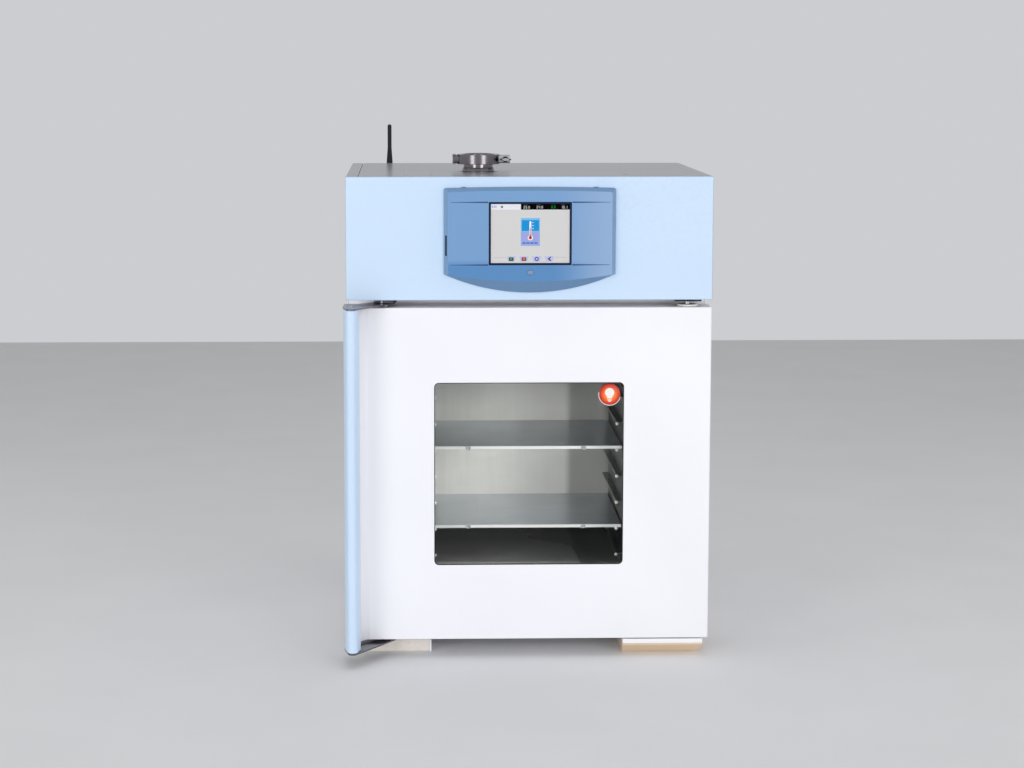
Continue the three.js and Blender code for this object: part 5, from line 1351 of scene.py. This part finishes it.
def buildFittings():
    # the upper bracket lies flat under the head, and the hinge disc shows below it
    plate = roundedRect(bracket["left"], bracket["right"], bracket["front"], bracket["back"],
                        bracket["corner"])
    makePiece("hinge_bracket_plate", "cabinet", slab("z", plate, bracket["low"], bracket["high"]),
              "blackSteelPaint", ["upper_hinge_bracket"], bevel=0.4)
    for node, (look, bevel) in fittings.items():
        refine(node, look, bevel)
    root, tip, length = aerial["root"], aerial["tip"], aerial["length"]
    rod = [(0, 1.9), (3.0, 1.9), (3.0, 4.8), (4.4, 5.2), (root, 6.2), (root, 9.5), (4.6, 9.9),
           (4.6, 10.5), (root - 0.1, 10.9), (4.8, 13.6), (4.4, 14.0), (4.4, 14.6), (4.9, 15.0),
           (4.9, aerial["taper"]), (tip + 0.3, aerial["rodFrom"] - 5), (tip, aerial["rodFrom"]),
           (tip, length - 3.0), (tip - 0.3, length - 1.8), (tip - 1.0, length - 0.8),
           (tip - 2.0, length - 0.2), (0, length)]
    pin = (aerial["x"], aerial["pinY"], aerial["z"])
    eye = disc("x", pin, 3.8, -3.0, 3.0, 32)
    makePiece("aerial_whip", "antenna_rod", joined(turned("z", pin, rod, 40), eye),
              "blackRubber", ["antenna_rod"], smoothAngle=40)


buildBody()
print("body built")
buildDoor()
buildLightKey()
print("door built")
buildHandle()
buildChamber()
buildPort()
buildClamp()
print("handle, chamber and port built")
buildBezel()
buildDisplay()
buildFittings()
print("panel and fittings built")

# floor, lamps, world and camera, in metres

stage = dict(half=3.45, color=(240, 240, 241), mirror=0.1,    # matt paper
             backdrop=(204, 205, 208), sky=(244, 245, 248), glow=0.42)


def buildStage():
    half = stage["half"]
    mesh = bpy.data.meshes.new("floor")
    mesh.from_pydata([(-half, -half, 0), (half, -half, 0), (half, half, 0), (-half, half, 0)],
                     [], [(0, 1, 2, 3)])
    floor = addObject("floor", mesh)
    material, tree, shader, where = startMaterial("floorPaper")
    skin = useGroup(tree, "paint", (-760, 100), {
        "Vector": where, "Color": linear(*stage["color"]), "Grain Scale": 300.0, "Tone": 0.01,
        "Roughness Low": 0.6, "Roughness High": 0.75})
    feed(tree, shader.inputs, {"Base Color": skin["Color"], "Roughness": skin["Roughness"]})
    shader.inputs["Specular IOR Level"].default_value = stage["mirror"]
    mesh.materials.append(material)

    # the pale backdrop is seen, also in metal and through glass, and a weaker sky lights
    world = bpy.data.worlds.new("studio")
    world.use_nodes = True
    tree = world.node_tree
    tree.nodes.clear()
    rays = put(tree, "LightPath", (-600, 200)).outputs
    clear = maths(tree, (-420, 260), "MAXIMUM", rays["Is Camera Ray"], rays["Is Transmission Ray"])
    shown = maths(tree, (-220, 260), "MAXIMUM", clear, rays["Is Glossy Ray"])
    light = put(tree, "Background", (-220, 40), {"Color": linear(*stage["sky"]),
                "Strength": stage["glow"]})
    pale = put(tree, "Background", (-220, -120), {"Color": linear(*stage["backdrop"]),
               "Strength": 1.0})
    mix = put(tree, "MixShader", (40, 60), {0: shown, 1: light.outputs[0], 2: pale.outputs[0]})
    put(tree, "OutputWorld", (240, 60), {"Surface": mix.outputs[0]})
    bpy.context.scene.world = world


def addLamp(name, spotAt, aimAt, width, height, power, mirrored=True):
    data = bpy.data.lights.new(name, "AREA")
    data.shape = "RECTANGLE"
    data.size = width
    data.size_y = height
    data.energy = power
    lamp = addObject(name, data)
    lamp.location = spotAt
    lamp.rotation_euler = (Vector(aimAt) - Vector(spotAt)).to_track_quat("-Z", "Y").to_euler()
    lamp.visible_glossy = mirrored
    lamp.visible_camera = False


softbox = dict(aimAt=(0, -0.1, 0.45), width=1.6, height=2.3, power=46.5)
sideFill = dict(aimAt=(0, 0, 0.4), width=1.6, height=1.6, power=12, mirrored=False)
lamps = {
    "leftSoftbox": dict(softbox, spotAt=(-2.75, -4.23, 1.2)),
    "rightSoftbox": dict(softbox, spotAt=(2.18, -4.52, 1.2)),
    "lowFill": dict(spotAt=(-0.2, -5.2, 0.52), aimAt=(0, 0, 0.42), width=3.2, height=0.30,
                    power=40, mirrored=False),
    "leftFill": dict(sideFill, spotAt=(-3.1, -0.9, 1.2)),
    "rightFill": dict(sideFill, spotAt=(3.1, -0.9, 1.2)),
    "roofPanel": dict(spotAt=(0, 0.1, 3.1), aimAt=(0, 0, 0.4), width=2.4, height=2.4, power=13,
                      mirrored=False),
    # two weak lamps just behind the door's glass
    "chamberTop": dict(spotAt=(-0.050, -0.100, 0.405), aimAt=(-0.060, 0.132, 0.33), width=0.14,
                       height=0.02, power=0.11, mirrored=False),
    "chamberMiddle": dict(spotAt=(-0.020, -0.100, 0.296), aimAt=(-0.020, 0.132, 0.195),
                          width=0.20, height=0.02, power=0.54, mirrored=False),
}

view = dict(location=(-0.1757, -3.3483, 0.8910), pitch=-6.4293, yaw=-1.3856, lens=75.9304,
            sensor=36, shiftX=0.05, shiftY=-0.08, near=0.05, far=50)


def buildCamera():
    data = bpy.data.cameras.new("photoCamera")
    data.sensor_width = view["sensor"]
    data.sensor_fit = "HORIZONTAL"
    data.lens = view["lens"]
    data.shift_x = view["shiftX"]
    data.shift_y = view["shiftY"]
    data.clip_start = view["near"]
    data.clip_end = view["far"]
    camera = addObject("photoCamera", data)
    camera.location = view["location"]
    camera.rotation_euler = (radians(90 + view["pitch"]), 0, radians(view["yaw"]))
    bpy.context.scene.camera = camera


buildStage()
for name, settings in lamps.items():
    addLamp(name, **settings)
buildCamera()
bpy.context.scene.view_settings.view_transform = "Standard"
print("stage, lamps and camera set")

bpy.context.view_layer.update()
